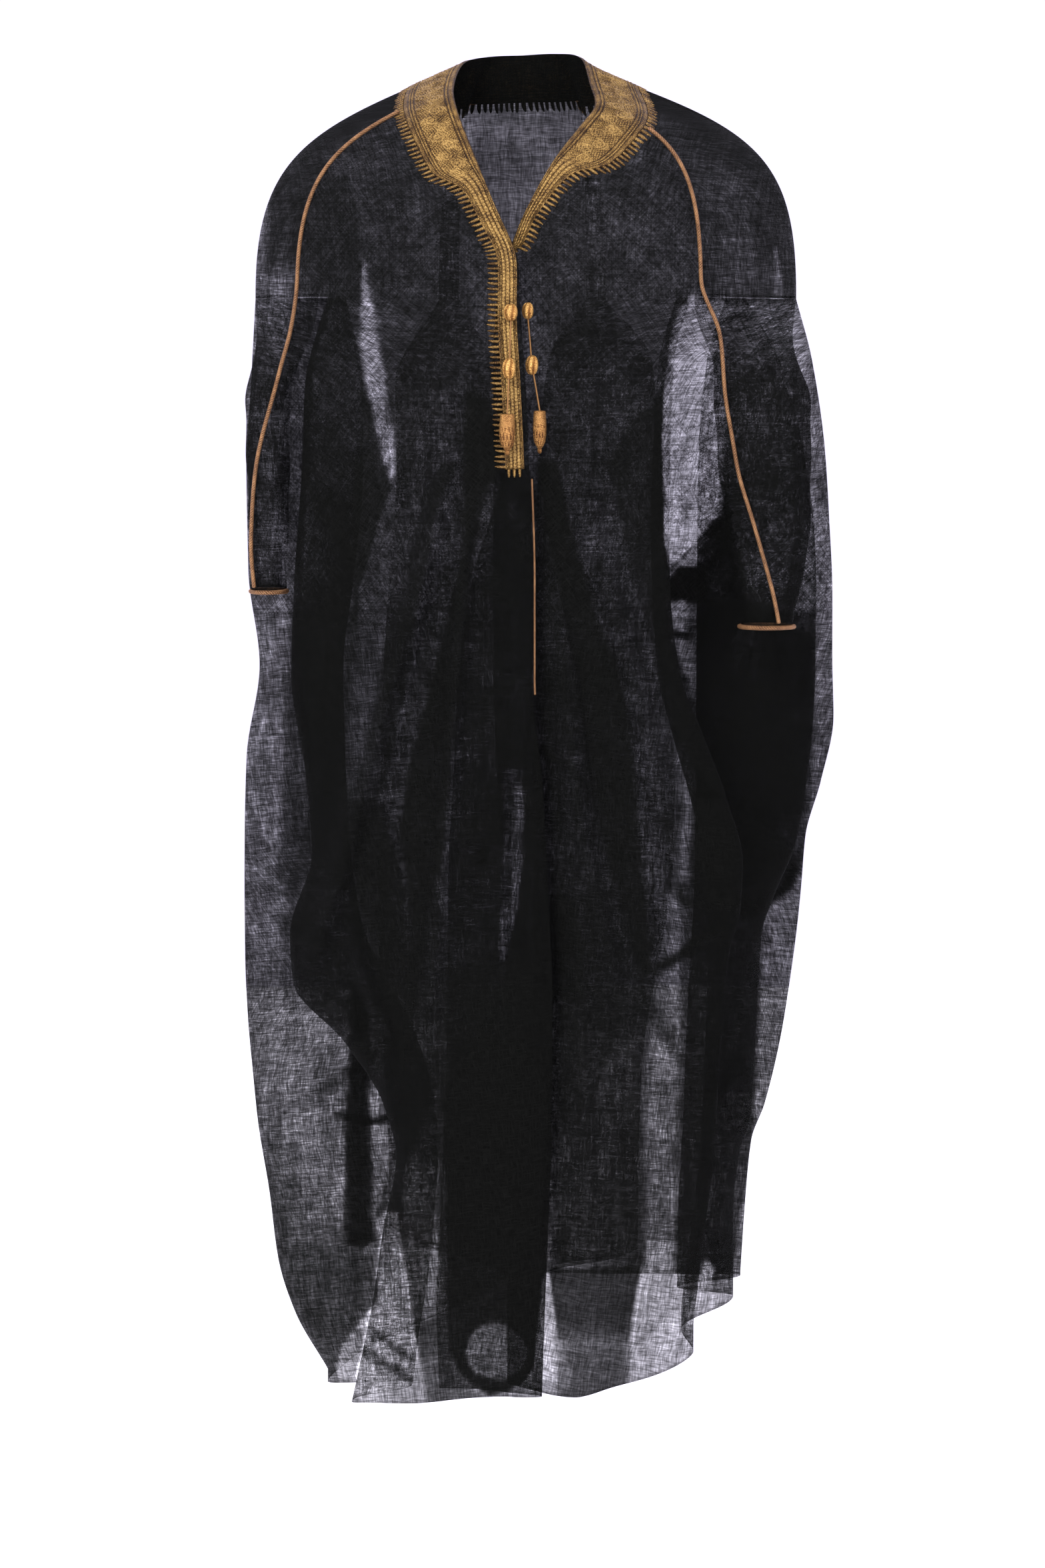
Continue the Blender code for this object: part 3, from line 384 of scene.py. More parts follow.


# Outlines of the zones in millimetres, across and height in turn, as they appear from the front.
# Each zone paints light and shade into the wool as a count of layers: windows are openings between
# folds, stripes and valleys the lit and dark sides of a fold, painted lighter and darker.
ZONES = {
    "body": (-304, 44, 305, 44, 327, -786, 251, -821, 148, -814, -154, -814, -264, -814, -312, -814),
    "right_shoulder": (-304, -15, -211, -35, -204, -135, -232, -262, -306, -262),
    "left_shoulder": (205, -15, 306, -15, 308, -262, 247, -262, 213, -195, 199, -115),
    "right_sleeve": (-272, -181, -211, -181, -210, -518, -275, -518),
    "left_sleeve": (187, -215, 291, -215, 300, -539, 227, -518, 209, -416, 200, -315),
    "lens": (
        -161, -165, -155, -199, -142, -268, -133, -336, -126, -378, -130, -391, -135, -398, -144, -369,
        -152, -333, -163, -282, -165, -251, -164, -208),
    "left_window": (
        173, -207, 162, -220, 151, -241, 143, -306, 141, -354, 144, -457, 148, -485, 159, -476, 174, -460,
        189, -444, 204, -430, 207, -396, 206, -342, 202, -288, 197, -241, 185, -216),
    "left_window_low": (155, -486, 175, -487, 188, -471, 194, -440, 190, -406, 182, -430, 171, -460),
    "strap_window": (146, -521, 165, -518, 170, -552, 147, -550),
    "arm_window": (149, -556, 172, -558, 177, -593, 182, -638, 168, -607),
    "slit": (
        156, -652, 172, -680, 177, -695, 175, -738, 172, -786, 170, -821, 168, -862, 164, -897, 163, -970,
        152, -960, 141, -928, 149, -904, 154, -862, 161, -814, 163, -765, 163, -717, 160, -689),
    "right_edge": (
        -292, -135, -255, -115, -265, -262, -276, -423, -275, -511, -238, -515, -241, -587, -246, -724,
        -253, -814, -298, -814),
    "left_edge": (285, -262, 295, -235, 316, -383, 327, -655, 313, -814, 294, -814, 299, -587, 294, -423),
    "left_streak": (253, -161, 259, -165, 270, -262, 271, -319, 262, -288, 254, -221),
    "band": (
        -176, -911, -161, -946, -159, -1054, -158, -1160, -154, -1185, -182, -1192, -184, -1143,
        -181, -1038, -177, -974),
    "column": (
        163, -807, 246, -807, 246, -889, 242, -1018, 237, -1087, 225, -1164, 218, -1217, 192, -1231,
        164, -1285, 158, -1285, 159, -1160, 162, -998, 164, -930),
    "petal": (-181, -724, -126, -724, -118, -918, -127, -974, -154, -932, -175, -862),
    "centre": (
        -130, -807, 148, -807, 139, -932, 127, -1002, 127, -1072, 129, -1214, 31, -1224, 29, -1100,
        -85, -1100, -127, -1100, -138, -1058, -144, -1002),
    "light_patch": (
        -20, -691, 0, -691, 2, -724, 1, -786, -5, -841, -17, -890, -25, -890, -23, -835, -21, -786,
        -21, -724),
    "tube": (-74, -974, 11, -974, 28, -1037, 19, -1278, -75, -1278, -79, -1072),
    "window_1": (
        -154, -1164, -141, -1154, -129, -1155, -125, -1192, -113, -1274, -105, -1327, -99, -1370,
        -156, -1370, -195, -1327, -190, -1300, -152, -1249, -151, -1200),
    "window_3": (
        129, -1184, 158, -1189, 157, -1278, 140, -1335, 123, -1363, 106, -1363, 110, -1306, 122, -1242),
    "window_4": (189, -1204, 202, -1214, 189, -1263, 171, -1278, 178, -1242),
    "chest_left": (44, -135, 98, -115, 145, -168, 119, -228, 65, -228),
    "chest_right": (-130, -115, -70, -128, -63, -201, -97, -235, -131, -195),
    "under_arm": (
        -231, -81, -191, -108, -171, -181, -172, -288, -179, -383, -209, -383, -213, -248, -234, -201),
    "over_arm": (-231, -68, -191, -88, -164, -115, -165, -216, -232, -216),
    "lens_side": (-163, -288, -152, -333, -144, -369, -135, -398, -152, -413, -165, -383),
    "window_head": (136, -212, 173, -212, 154, -241, 146, -288, 136, -315),
    "right_sleeve_back": (-272, -181, -232, -195, -239, -235, -243, -383, -241, -491, -275, -491),
    "beside_sleeve": (
        -232, -215, -212, -208, -211, -349, -223, -437, -229, -505, -239, -518, -244, -383, -239, -262),
    "left_sleeve_back": (187, -216, 291, -216, 300, -518, 226, -505, 209, -416, 200, -315),
    "outer_fold": (
        -214, -342, -217, -383, -223, -423, -227, -484, -230, -545, -224, -593, -217, -641, -215, -724,
        -243, -814, -250, -862, -209, -883, -195, -814, -184, -758, -174, -717, -176, -696, -179, -662,
        -176, -627, -175, -593, -170, -552, -167, -505, -168, -450, -169, -383, -192, -342),
    "inner_fold": (
        -170, -376, -133, -402, -142, -423, -152, -457, -160, -484, -167, -505, -170, -552, -173, -552,
        -172, -450),
    "stripe_right": (
        -79, -376, -91, -396, -104, -430, -118, -484, -125, -518, -137, -552, -145, -593, -153, -634,
        -163, -676, -174, -717, -184, -758, -195, -814, -181, -814, -157, -751, -146, -717, -133, -676,
        -126, -634, -113, -587, -108, -539, -101, -498, -95, -471, -91, -437, -70, -383),
    "valley_right": (
        -57, -308, -59, -369, -59, -450, -64, -484, -71, -518, -85, -573, -98, -627, -116, -689,
        -126, -758, -118, -807, -114, -862, -122, -911, -127, -974, -123, -1030, -117, -981, -107, -932,
        -99, -890, -91, -821, -84, -786, -78, -724, -73, -676, -68, -627, -62, -593, -57, -545, -54, -498,
        -49, -464, -43, -423, -33, -398, -24, -383, -28, -342, -36, -315),
    "beside_edge": (
        6, -383, 19, -416, 28, -471, 36, -498, 42, -532, 45, -559, 52, -593, 57, -621, 61, -655, 64, -689,
        69, -717, 76, -745, 83, -772, 93, -807, 100, -835, 111, -883, 121, -911, 132, -932, 142, -953,
        156, -970, 163, -995, 127, -953, 80, -974, 28, -974, 26, -807, 19, -724, 13, -689, 11, -621),
    "shadow_edge": (29, -814, 52, -828, 63, -897, 66, -960, 29, -974),
    "valley_left": (
        15, -376, 35, -376, 43, -423, 58, -477, 73, -532, 96, -587, 108, -641, 115, -710, 121, -779,
        127, -848, 132, -904, 123, -911, 111, -883, 100, -835, 93, -807, 83, -772, 76, -745, 69, -717,
        64, -689, 61, -655, 57, -621, 52, -593, 45, -559, 42, -532, 36, -498, 28, -471, 19, -416),
    "beside_window": (
        87, -376, 99, -430, 106, -471, 113, -505, 123, -532, 130, -566, 137, -593, 147, -621, 157, -648,
        175, -689, 209, -724, 203, -689, 192, -662, 182, -634, 171, -607, 158, -573, 147, -545, 146, -383,
        139, -315, 119, -329),
    "pouch_foot": (
        179, -724, 214, -724, 285, -786, 279, -814, 251, -829, 217, -836, 183, -833, 173, -814,
        175, -758),
    "swoop": (
        -91, -821, -99, -890, -107, -932, -117, -981, -122, -1030, -131, -1072, -138, -1107, -148, -1143,
        -154, -1164, -133, -1151, -128, -1129, -114, -1086, -100, -1051, -93, -1031, -80, -1010,
        -77, -974, -74, -862),
    "right_skirt": (
        -80, -1012, -93, -1034, -100, -1051, -114, -1086, -128, -1129, -133, -1153, -129, -1178,
        -125, -1192, -113, -1274, -91, -1265, -75, -1258, -78, -1178, -79, -1072),
    "beside_tube": (-88, -1030, -77, -1002, -78, -1256, -85, -1256, -88, -1143),
    "right_skirt_low": (-113, -1275, -91, -1266, -75, -1258, -72, -1299, -66, -1313, -107, -1313),
    "right_skirt_foot": (-109, -1306, -70, -1306, -59, -1335, -43, -1356, -101, -1363, -106, -1327),
    "above_tube": (-65, -904, 11, -904, 21, -1030, 21, -1086, -72, -1086, -72, -1002),
    "front_tube": (
        -78, -1038, -78, -1241, -76, -1299, -66, -1325, -52, -1340, -34, -1350, -17, -1346, 1, -1335,
        11, -1319, 14, -1278, 18, -1242, 24, -1214, 19, -1178, 24, -1086, 26, -1030, -3, -974, -58, -988),
    "tube_mouth": (
        -61, -1307, -57, -1290, -50, -1280, -38, -1273, -25, -1271, -11, -1278, 0, -1288, 6, -1300,
        6, -1310, 1, -1322, -8, -1330, -19, -1335, -34, -1335, -47, -1329, -57, -1319),
    "front_petal": (
        -181, -724, -153, -717, -136, -765, -122, -814, -118, -862, -123, -911, -128, -974, -141, -932,
        -154, -890, -171, -821),
    "left_skirt_top": (
        26, -932, 152, -932, 154, -974, 127, -963, 101, -984, 66, -1051, 33, -1143, 28, -1143),
    "left_skirt": (
        33, -1093, 66, -1023, 101, -974, 127, -953, 126, -1178, 122, -1218, 28, -1218, 32, -1178),
    "left_skirt_low": (28, -1216, 124, -1214, 116, -1256, 111, -1292, 38, -1292),
    "left_skirt_foot": (38, -1285, 111, -1285, 107, -1363, 38, -1363),
    "dark_column": (166, -848, 246, -848, 244, -932, 238, -1030, 204, -1002, 167, -974),
    "corner": (
        -266, -1072, -232, -1178, -183, -1178, -154, -1199, -152, -1249, -182, -1295, -198, -1335,
        -246, -1256, -273, -1143),
    "window_side": (
        132, -953, 139, -967, 156, -988, 162, -1002, 159, -1079, 158, -1278, 140, -1327, 110, -1349,
        116, -1256, 128, -1180, 127, -1079, 127, -1002),
    "front_band": (
        -171, -974, -161, -974, -159, -1054, -158, -1160, -154, -1185, -169, -1194, -182, -1187,
        -184, -1143, -181, -1038, -177, -974),
    "strap": (149, -499, 160, -486, 177, -484, 189, -481, 189, -518, 174, -522, 167, -517, 146, -520),
    "strap_bar": (146, -548, 172, -552, 172, -558, 146, -554),
    "window_2": (19, -1225, 29, -1224, 33, -1282, 36, -1315, 35, -1370, 8, -1370, 15, -1327, 18, -1278),
    "folds": (-306, -168, -151, -168, -152, -423, -207, -518, -309, -518),
    "fold_top": (-213, -181, -144, -181, -152, -410, -206, -410),
    "inner_window_head": (129, -205, 173, -205, 154, -241, 146, -288, 129, -329),
    "inner_right_skirt": (
        -80, -1002, -93, -1034, -100, -1051, -114, -1086, -125, -1129, -125, -1192, -113, -1278,
        -81, -1278, -77, -1072),
    "inner_beside_sleeve": (-243, -235, -226, -235, -225, -383, -228, -484, -241, -491, -244, -383),
    "left_folds": (184, -168, 307, -168, 311, -559, 229, -528, 209, -416, 200, -315),
    "inner_column": (
        164, -848, 246, -807, 246, -889, 242, -1018, 237, -1087, 225, -1164, 218, -1217, 192, -1231,
        164, -1285, 158, -1285, 159, -1160, 162, -998),
}


def shade_list(*rows: tuple[str, float, float]) -> tuple[Shade, ...]:
    """Shades of the named zones, each with its layers and the half width of its border."""
    return tuple(Shade(metres(ZONES[zone]), layers, soft) for zone, layers, soft in rows)


REAR_SHADES = shade_list(      # the back
    ("body", 2.1, 0.0212), ("right_shoulder", 1.7, 0.0283), ("left_shoulder", 1.7, 0.0283),
    ("right_sleeve", 1.15, 0.0141), ("left_sleeve", 0.9, 0.0057), ("lens", 0.85, 0.0011),
    ("left_window", 0.95, 0.0014), ("left_window_low", 0.95, 0.0014), ("strap_window", 0.95, 0.0014),
    ("arm_window", 0.95, 0.0014), ("slit", 1.0, 0.0014), ("right_edge", 0.95, 0.0057),
    ("left_edge", 1.0, 0.0035), ("left_streak", 1.0, 0.0028), ("band", 2.0, 0.0014),
    ("column", 2.1, 0.0021), ("petal", 2.6, 0.0035), ("centre", 2.2, 0.0085),
    ("light_patch", 1.0, 0.0028), ("tube", 3.2, 0.0028), ("window_1", 0.08, 0.0014),
    ("window_3", 0.1, 0.0014), ("window_4", 0.1, 0.0014)
)
FRONT_SHADES = shade_list(      # the foremost layer of the fronts
    ("chest_left", 0.8, 0.0424), ("chest_right", 0.8, 0.0424), ("under_arm", 1.2, 0.0099),
    ("over_arm", 1.7, 0.0071), ("lens_side", 1.9, 0.0021), ("window_head", 0.8, 0.0042),
    ("right_sleeve_back", 0.42, 0.0085), ("beside_sleeve", 1.7, 0.0035),
    ("left_sleeve_back", 0.4, 0.0057), ("outer_fold", 1.5, 0.0021), ("inner_fold", 2.5, 0.0021),
    ("stripe_right", 1.85, 0.0028), ("valley_right", 2.9, 0.0042), ("beside_edge", 1.9, 0.0021),
    ("shadow_edge", 2.9, 0.0057), ("valley_left", 2.8, 0.0042), ("beside_window", 1.9, 0.0028),
    ("pouch_foot", 2.2, 0.0042), ("swoop", 1.9, 0.0021), ("right_skirt", 1.35, 0.0042),
    ("beside_tube", 2.2, 0.0028), ("right_skirt_low", 2.9, 0.0021), ("right_skirt_foot", 2.2, 0.0141),
    ("above_tube", 2.4, 0.0283), ("front_tube", 3.9, 0.0021), ("tube_mouth", 1.5, 0.0021),
    ("front_petal", 2.2, 0.0035), ("left_skirt_top", 1.9, 0.0085), ("left_skirt", 1.4, 0.0156),
    ("left_skirt_low", 3.1, 0.0021), ("left_skirt_foot", 2.3, 0.0156), ("dark_column", 1.2, 0.0141),
    ("light_patch", 0.35, 0.0021), ("corner", 1.9, 0.0212), ("slit", 1.0, 0.0014),
    ("window_side", 1.0, 0.0014), ("lens", 0.5, 0.0011), ("left_window", 0.12, 0.0014),
    ("front_band", 3.0, 0.0014), ("strap", 4.0, 0.0014), ("strap_bar", 3.0, 0.0014),
    ("window_1", 1.0, 0.0014), ("window_2", 1.0, 0.0014)
)
INNER_SHADES = shade_list(      # the folded layers behind it
    ("folds", 0.6, 0.0141), ("fold_top", 0.2, 0.0099), ("inner_window_head", 0.25, 0.0042),
    ("inner_right_skirt", 0.42, 0.0057), ("inner_beside_sleeve", 2.0, 0.0035),
    ("left_folds", 0.3, 0.0057), ("inner_column", 0.6, 0.0028), ("band", 2.2, 0.0014),
    ("lens", 0.1, 0.0011), ("left_window", 0.12, 0.0014), ("window_1", 0.06, 0.0014),
    ("window_3", 0.1, 0.0014), ("window_4", 0.1, 0.0014)
)
DEPTHS = sizes(
    "height chest back", (-210, -136, 112), (-300, -146, 124), (-450, -156, 136), (-600, -162, 146),
    (-800, -168, 156), (-1000, -173, 166), (-1200, -178, 175), (-1390, -182, 180))
NECK_SHARE = {"front": 0.44, "piping": 0.53, "side": 0.66}      # shares of the neckline
ARC_STEPS = 8              # strips of the yoke between the front fold and the side
PIPING_STEP = 2            # strips of them before the piping
PLEAT = ("pleat_in", "pleat_out")
CROWN_OUT = 0.035          # how far the top of the overlap lies from its edge
SPINE_RISE = (0.72, 0.28, 0.62)
BEND = {"edge": 1.5, "front": 1.2}      # how roundly the cloth leaves its folds
FRONT_ARRIVAL = 1.4
OTHER_BEND = 1.3
FRONT_PULL = (0.6, 0.03)   # slopes that the shoulder gives the front fold, before and behind it
FOLD_FORMING = 0.09        # height below the yoke over which the folds form
ARC_LEAVE = (0.10, 0.06)   # slopes of the yoke's foot round the arm, outwards and in depth
ARC_ARRIVE = (0.01, 0.17)
FRONT_DEPTH = 0.55         # share of the depth over which the front's ridges fade
REAR_DEPTH = 0.75          # share of the depth where the back's waves begin
WAVE_TOP, WAVE_FADE = -0.25, 0.40
SKIRT_TOP, SKIRT_FADE = -0.85, 0.35
LEAST_PLEAT = 0.06         # share of the layers that each part of a pleat keeps
SHALLOW_PLEAT = 0.004
REAR_WAVES = (Wave(0.0060, 62.0, 1.3, 2.0), Wave(0.0036, 27.0, 0.0, 5.0))
SKIRT_WAVE = {hand: Wave(0.0040, 55.0, 0.8, 3.0 * hand.sign) for hand in Hand}


# ---- the drape ---------------------------------------------------------------------------------
@dataclass
class Drape:
    """One half of the hanging cloak: where its folds turn at each height."""

    hand: Hand
    folds: Table                            # distances out of the turning points
    turns: tuple[Turn, ...]
    steps: tuple[int, ...]                  # strips between one turning point and the next
    neck: tuple[tuple[float, float, float], ...]        # the neckline, from the V to the back
    rise: tuple[float, float, float]        # reach, lead and lift of the yoke's curve
    piping_foot: float                      # where the piping crosses the yoke's foot
    ridges: tuple[Ridge | Hump, ...]
    creases: tuple[Crease, ...]
    names: list[str] = field(init=False)
    starts: dict[str, int] = field(init=False)      # first strip after each turning point
    segment: np.ndarray = field(init=False)         # turning point before each fine column
    even: np.ndarray = field(init=False)            # share of the strips to the next one
    place_in_fold: np.ndarray = field(init=False)   # the same, closer together at the folds

    def __post_init__(self) -> None:
        """Lay out the strips between the turning points."""
        self.names = [turn.name for turn in self.turns]
        self.starts = {name: sum(self.steps[:i]) for i, name in enumerate(self.names)}
        self.segment = np.concatenate(
            [np.full(n * FINE_COLUMNS, i) for i, n in enumerate(self.steps)]
            + [[len(self.steps) - 1]])
        self.even = np.concatenate(
            [np.arange(n * FINE_COLUMNS) / (n * FINE_COLUMNS) for n in self.steps] + [[1.0]])
        self.place_in_fold = 0.5 * self.even + 0.25 * (1.0 - np.cos(np.pi * self.even))

    def column(self, name: str) -> int:
        """Fine column of a named turning point."""
        return self.starts[name] * FINE_COLUMNS

    def turn_at(self, index: int, height: np.ndarray) -> tuple[np.ndarray, np.ndarray]:
        """Distance out and depth of a turning point at some heights.

        Args:
            index: The turning point.
            height: Heights.

        Returns:
            Distances out and depths.
        """
        turn = self.turns[index]
        chest = DEPTHS.read("chest", height)
        back = DEPTHS.read("back", height)
        depth = chest + (back - chest) * turn.back
        if turn.name == "spine":
            return np.zeros_like(depth), depth
        if turn.name == "crown":
            return self.folds.read("edge", height) + CROWN_OUT, depth
        return self.folds.read(turn.name, height), depth

    def heading(self, index: int, dx: np.ndarray, dy: np.ndarray, soften: np.ndarray,
                leaving: bool) -> tuple[np.ndarray, np.ndarray]:
        """Direction of the cloth at a turning point: across, or straight back at folds.

        Args:
            index: The turning point.
            dx: Distance out to be covered.
            dy: Depth to be covered.
            soften: How far the folds have formed, 0 at the yoke and 1 below.
            leaving: Whether the cloth leaves the turning point or arrives there.

        Returns:
            Slopes of the distance out and of the depth.
        """
        name = self.turns[index].name
        if name in ("crown", "breast", "spine"):
            return dx, dy * 0.0
        if index == 0:
            return dx, dy
        if name == "front" and not leaving:
            return FRONT_PULL[0] * dx * (1.0 - soften), FRONT_ARRIVAL * dy
        if name == "front":
            return FRONT_PULL[1] * (1.0 - soften), BEND[name] * dy
        return dx * 0.0, BEND.get(name, OTHER_BEND) * dy

    def section(self, height: np.ndarray, columns: np.ndarray) -> tuple[np.ndarray, np.ndarray]:
        """Level sections of the cloth.

        Args:
            height: Heights, a row for each level and a column for each strip.
            columns: The fine columns wanted.

        Returns:
            Distances out and depths, shaped as height.
        """
        out, depth = np.zeros_like(height), np.zeros_like(height)
        for i in range(len(self.steps)):
            here = np.nonzero(self.segment[columns] == i)[0]
            if not len(here):
                continue
            level = height[:, here]
            t = self.place_in_fold[columns[here]][None, :]
            (x0, y0), (x1, y1) = self.turn_at(i, level), self.turn_at(i + 1, level)
            dx, dy = x1 - x0, y1 - y0
            soften = smooth((YOKE_FOOT - level) / FOLD_FORMING)
            leave = self.heading(i, dx, dy, soften, True)
            arrive = self.heading(i + 1, dx, dy, soften, False)
            out[:, here] = hermite(x0, x1, leave[0], arrive[0], t)
            depth[:, here] = hermite(y0, y1, leave[1], arrive[1], t)
        return out, depth

    def hems(self, columns: np.ndarray) -> np.ndarray:
        """Height of the hem at fine columns.

        Args:
            columns: The fine columns.

        Returns:
            Their heights.
        """
        low = np.array([turn.hem for turn in self.turns])
        k = self.segment[columns]
        return low[k] + (low[k + 1] - low[k]) * smooth(self.even[columns])

    def swell(self, out: np.ndarray, depth: np.ndarray, height: np.ndarray) -> np.ndarray:
        """Shift in depth of ridges, small waves and creases, alike for all layers in front.

        Args:
            out: Distances out.
            depth: Depths.
            height: Heights.

        Returns:
            Shifts towards the back.
        """
        chest = DEPTHS.read("chest", height)
        back = DEPTHS.read("back", height)
        share = (depth - chest) / (back - chest)
        front = 1.0 - smooth(share / FRONT_DEPTH)
        rear = smooth((share - REAR_DEPTH) / (1.0 - REAR_DEPTH))
        lower = smooth((WAVE_TOP - height) / WAVE_FADE)
        skirt = smooth((SKIRT_TOP - height) / SKIRT_FADE)
        shift = rear * lower * sum(wave.shift(out, height) for wave in REAR_WAVES)
        shift = shift + front * skirt * SKIRT_WAVE[self.hand].shift(out, height)
        shift -= front * sum(ridge.shift(out, height) for ridge in self.ridges)
        x, height = np.broadcast_arrays(out * self.hand.sign, height)
        for crease in self.creases:
            weight = rear if crease.rear else front
            way = 1.0 if crease.rear else -1.0
            shift += weight * way * crease.rise * crease.share(x, height)
        return shift

    def place(self, out: np.ndarray, depth: np.ndarray, height: np.ndarray) -> np.ndarray:
        """World points for distances out, depths and heights, with the last axis x, y, z."""
        return np.stack((self.hand.sign * out, depth + self.swell(out, depth, height),
                         np.broadcast_to(height, out.shape)), axis=-1)

    def hanging(self, low: int, high: int, upper: bool) -> np.ndarray:
        """Grid of the hanging cloth.

        Args:
            low: First fine column.
            high: Last fine column.
            upper: The upper loom width, or else the lower one.

        Returns:
            Points by row and column.
        """
        columns = np.arange(low, high + 1)
        t = np.linspace(0.0, 1.0, (UPPER_ROWS if upper else LOWER_ROWS) + 1)[:, None]
        if upper:
            height = YOKE_FOOT + (LOOM_SEAM - YOKE_FOOT) * t + np.zeros((1, len(columns)))
        else:
            height = LOOM_SEAM + (self.hems(columns)[None, :] - LOOM_SEAM) * t
        return self.place(*self.section(height, columns), height)

    def shown(self, points: np.ndarray, columns: np.ndarray) -> np.ndarray:
        """1 where the hanging cloth is the foremost layer seen from the front, or else 0.

        Args:
            points: Points by row and column.
            columns: Their fine columns.

        Returns:
            The marks, shaped as the grid.
        """
        out, height = points[..., 0] * self.hand.sign, points[..., 2]
        reach, result = np.full(out.shape, -1.0), np.zeros(out.shape)
        for k in range(len(self.turns) - 1):
            start, end = self.turn_at(k, height)[0], self.turn_at(k + 1, height)[0]
            here = (self.segment[columns] == k)[None, :]
            result += here & (end > start) & (out > reach - 0.0005)
            reach = np.maximum(reach, end)
        return result

    def pleated(self, grid: np.ndarray, first: int, last: int) -> np.ndarray:
        """Share of the back's layers that each of its points counts for where it is pleated.

        Args:
            grid: Points by row and column, from the side to the centre back.
            first: Column of the pleat's first fold.
            last: Column of its second fold.

        Returns:
            Shares that add up to about 1 through the pleat.
        """
        out = np.abs(grid[..., 0])
        low, high = out[:, first:first + 1], out[:, last:last + 1]
        way = np.clip((out - low) / np.maximum(high - low, 1e-4), 0.0, 1.0)
        column = np.arange(grid.shape[1])[None, :]
        share = np.where(column <= first, way, np.where(column >= last, 1.0 - way, 0.0))
        share = np.maximum(share * (1.0 - LEAST_PLEAT), LEAST_PLEAT)
        return 1.0 + (share - 1.0) * smooth((high - low) / SHALLOW_PLEAT)

    def point_at(self, column: int, height: float) -> Vector:
        """Point of the hanging cloth in a fine column at a height."""
        level = np.array([[height]])
        return Vector(self.place(*self.section(level, np.array([column])), level)[0, 0])

    def arc_points(self, share: np.ndarray) -> np.ndarray:
        """Foot of the yoke between the front fold and the side, round the upper arm.

        Args:
            share: Shares of the way from the front fold to the side.

        Returns:
            Points, one for each share.
        """
        foot = np.array([YOKE_FOOT])
        x0, y0 = self.turn_at(self.names.index("front"), foot)
        x1, y1 = self.turn_at(self.names.index("side"), foot)
        x = hermite(x0, x1, ARC_LEAVE[0], ARC_ARRIVE[0], share)
        y = hermite(y0, y1, ARC_LEAVE[1], ARC_ARRIVE[1], share)
        return self.place(x, y, np.full(len(share), YOKE_FOOT))

    def neck_point(self, share: float) -> Vector:
        """Point on the neckline, 0 at the foot of the V and 1 at the centre back."""
        knots = [Vector((self.hand.sign * x, y, z)) for x, y, z in self.neck]
        return through(knots, share)

    def yoke_feet(self) -> tuple[np.ndarray, np.ndarray]:
        """Foot points of the yoke and the share of the neckline above each.

        Returns:
            Points and shares, one for each fine column.
        """
        first, front = self.column("edge"), self.column("front")
        side, last = self.column("side"), self.column("spine")
        level = np.array([[YOKE_FOOT]])

        def row(low: int, high: int) -> np.ndarray:
            """Foot points of a run of columns.

            Args:
                low: First column.
                high: Last column.

            Returns:
                The points.
            """
            columns = np.arange(low, high + 1)
            height = level + np.zeros((1, len(columns)))
            return self.place(*self.section(height, columns), height)[0]

        n = ARC_STEPS * FINE_COLUMNS
        mark = PIPING_STEP * FINE_COLUMNS
        k = np.arange(1, n)
        part = np.where(k <= mark, k / mark, (k - mark) / (n - mark))
        foot = self.piping_foot
        place = np.where(k <= mark, foot * part, foot + (1.0 - foot) * part)
        low = np.where(k <= mark, NECK_SHARE["front"], NECK_SHARE["piping"])
        high = np.where(k <= mark, NECK_SHARE["piping"], NECK_SHARE["side"])
        shares = np.concatenate((
            np.linspace(0.0, NECK_SHARE["front"], front - first + 1),
            low + (high - low) * part,
            np.linspace(NECK_SHARE["side"], 1.0, last - side + 1)))
        feet = np.concatenate((row(first, front), self.arc_points(place), row(side, last)))
        return feet, shares

    def yoke_points(self, feet: np.ndarray, shares: np.ndarray, drop: np.ndarray) -> np.ndarray:
        """Points of the yoke between the neckline and its foot, over the rounded shoulder.

        Args:
            feet: Foot points, one for each column.
            shares: Shares of the neckline, one for each column.
            drop: Shares of the way down, one for each row.

        Returns:
            Points by row and column.
        """
        top = np.array([self.neck_point(s) for s in shares])
        across = feet - top
        fall = -across[:, 2:3].copy()
        across[:, 2] = 0.0
        mix = smooth((shares - NECK_SHARE["side"]) / (1.0 - NECK_SHARE["side"]))[:, None]
        reach, rise, lift = (own + (spine - own) * mix for own, spine in zip(self.rise, SPINE_RISE))
        up = np.array([[0.0, 0.0, 1.0]])
        lead = top + across * reach - up * fall * rise
        brow = feet + up * fall * lift
        d = drop[:, None, None]
        s = 1.0 - d
        return top * s ** 3 + lead * 3 * s * s * d + brow * 3 * s * d * d + feet * d ** 3

    def yoke(self, low: int, high: int) -> np.ndarray:
        """Grid of the yoke between two of its fine columns.

        Args:
            low: First fine column.
            high: Last fine column.

        Returns:
            Points by row and column.
        """
        feet, shares = self.yoke_feet()
        drop = np.linspace(0.0, 1.0, YOKE_ROWS + 1)
        return self.yoke_points(feet[low:high + 1], shares[low:high + 1], drop)

    @property
    def flip(self) -> bool:
        """Whether the faces of this half are wound the other way round."""
        return self.hand is Hand.LEFT

    @property
    def parting(self) -> int:
        """Fine column of the yoke where the front meets the back under the piping."""
        return self.column("front") - self.column("edge") + PIPING_STEP * FINE_COLUMNS


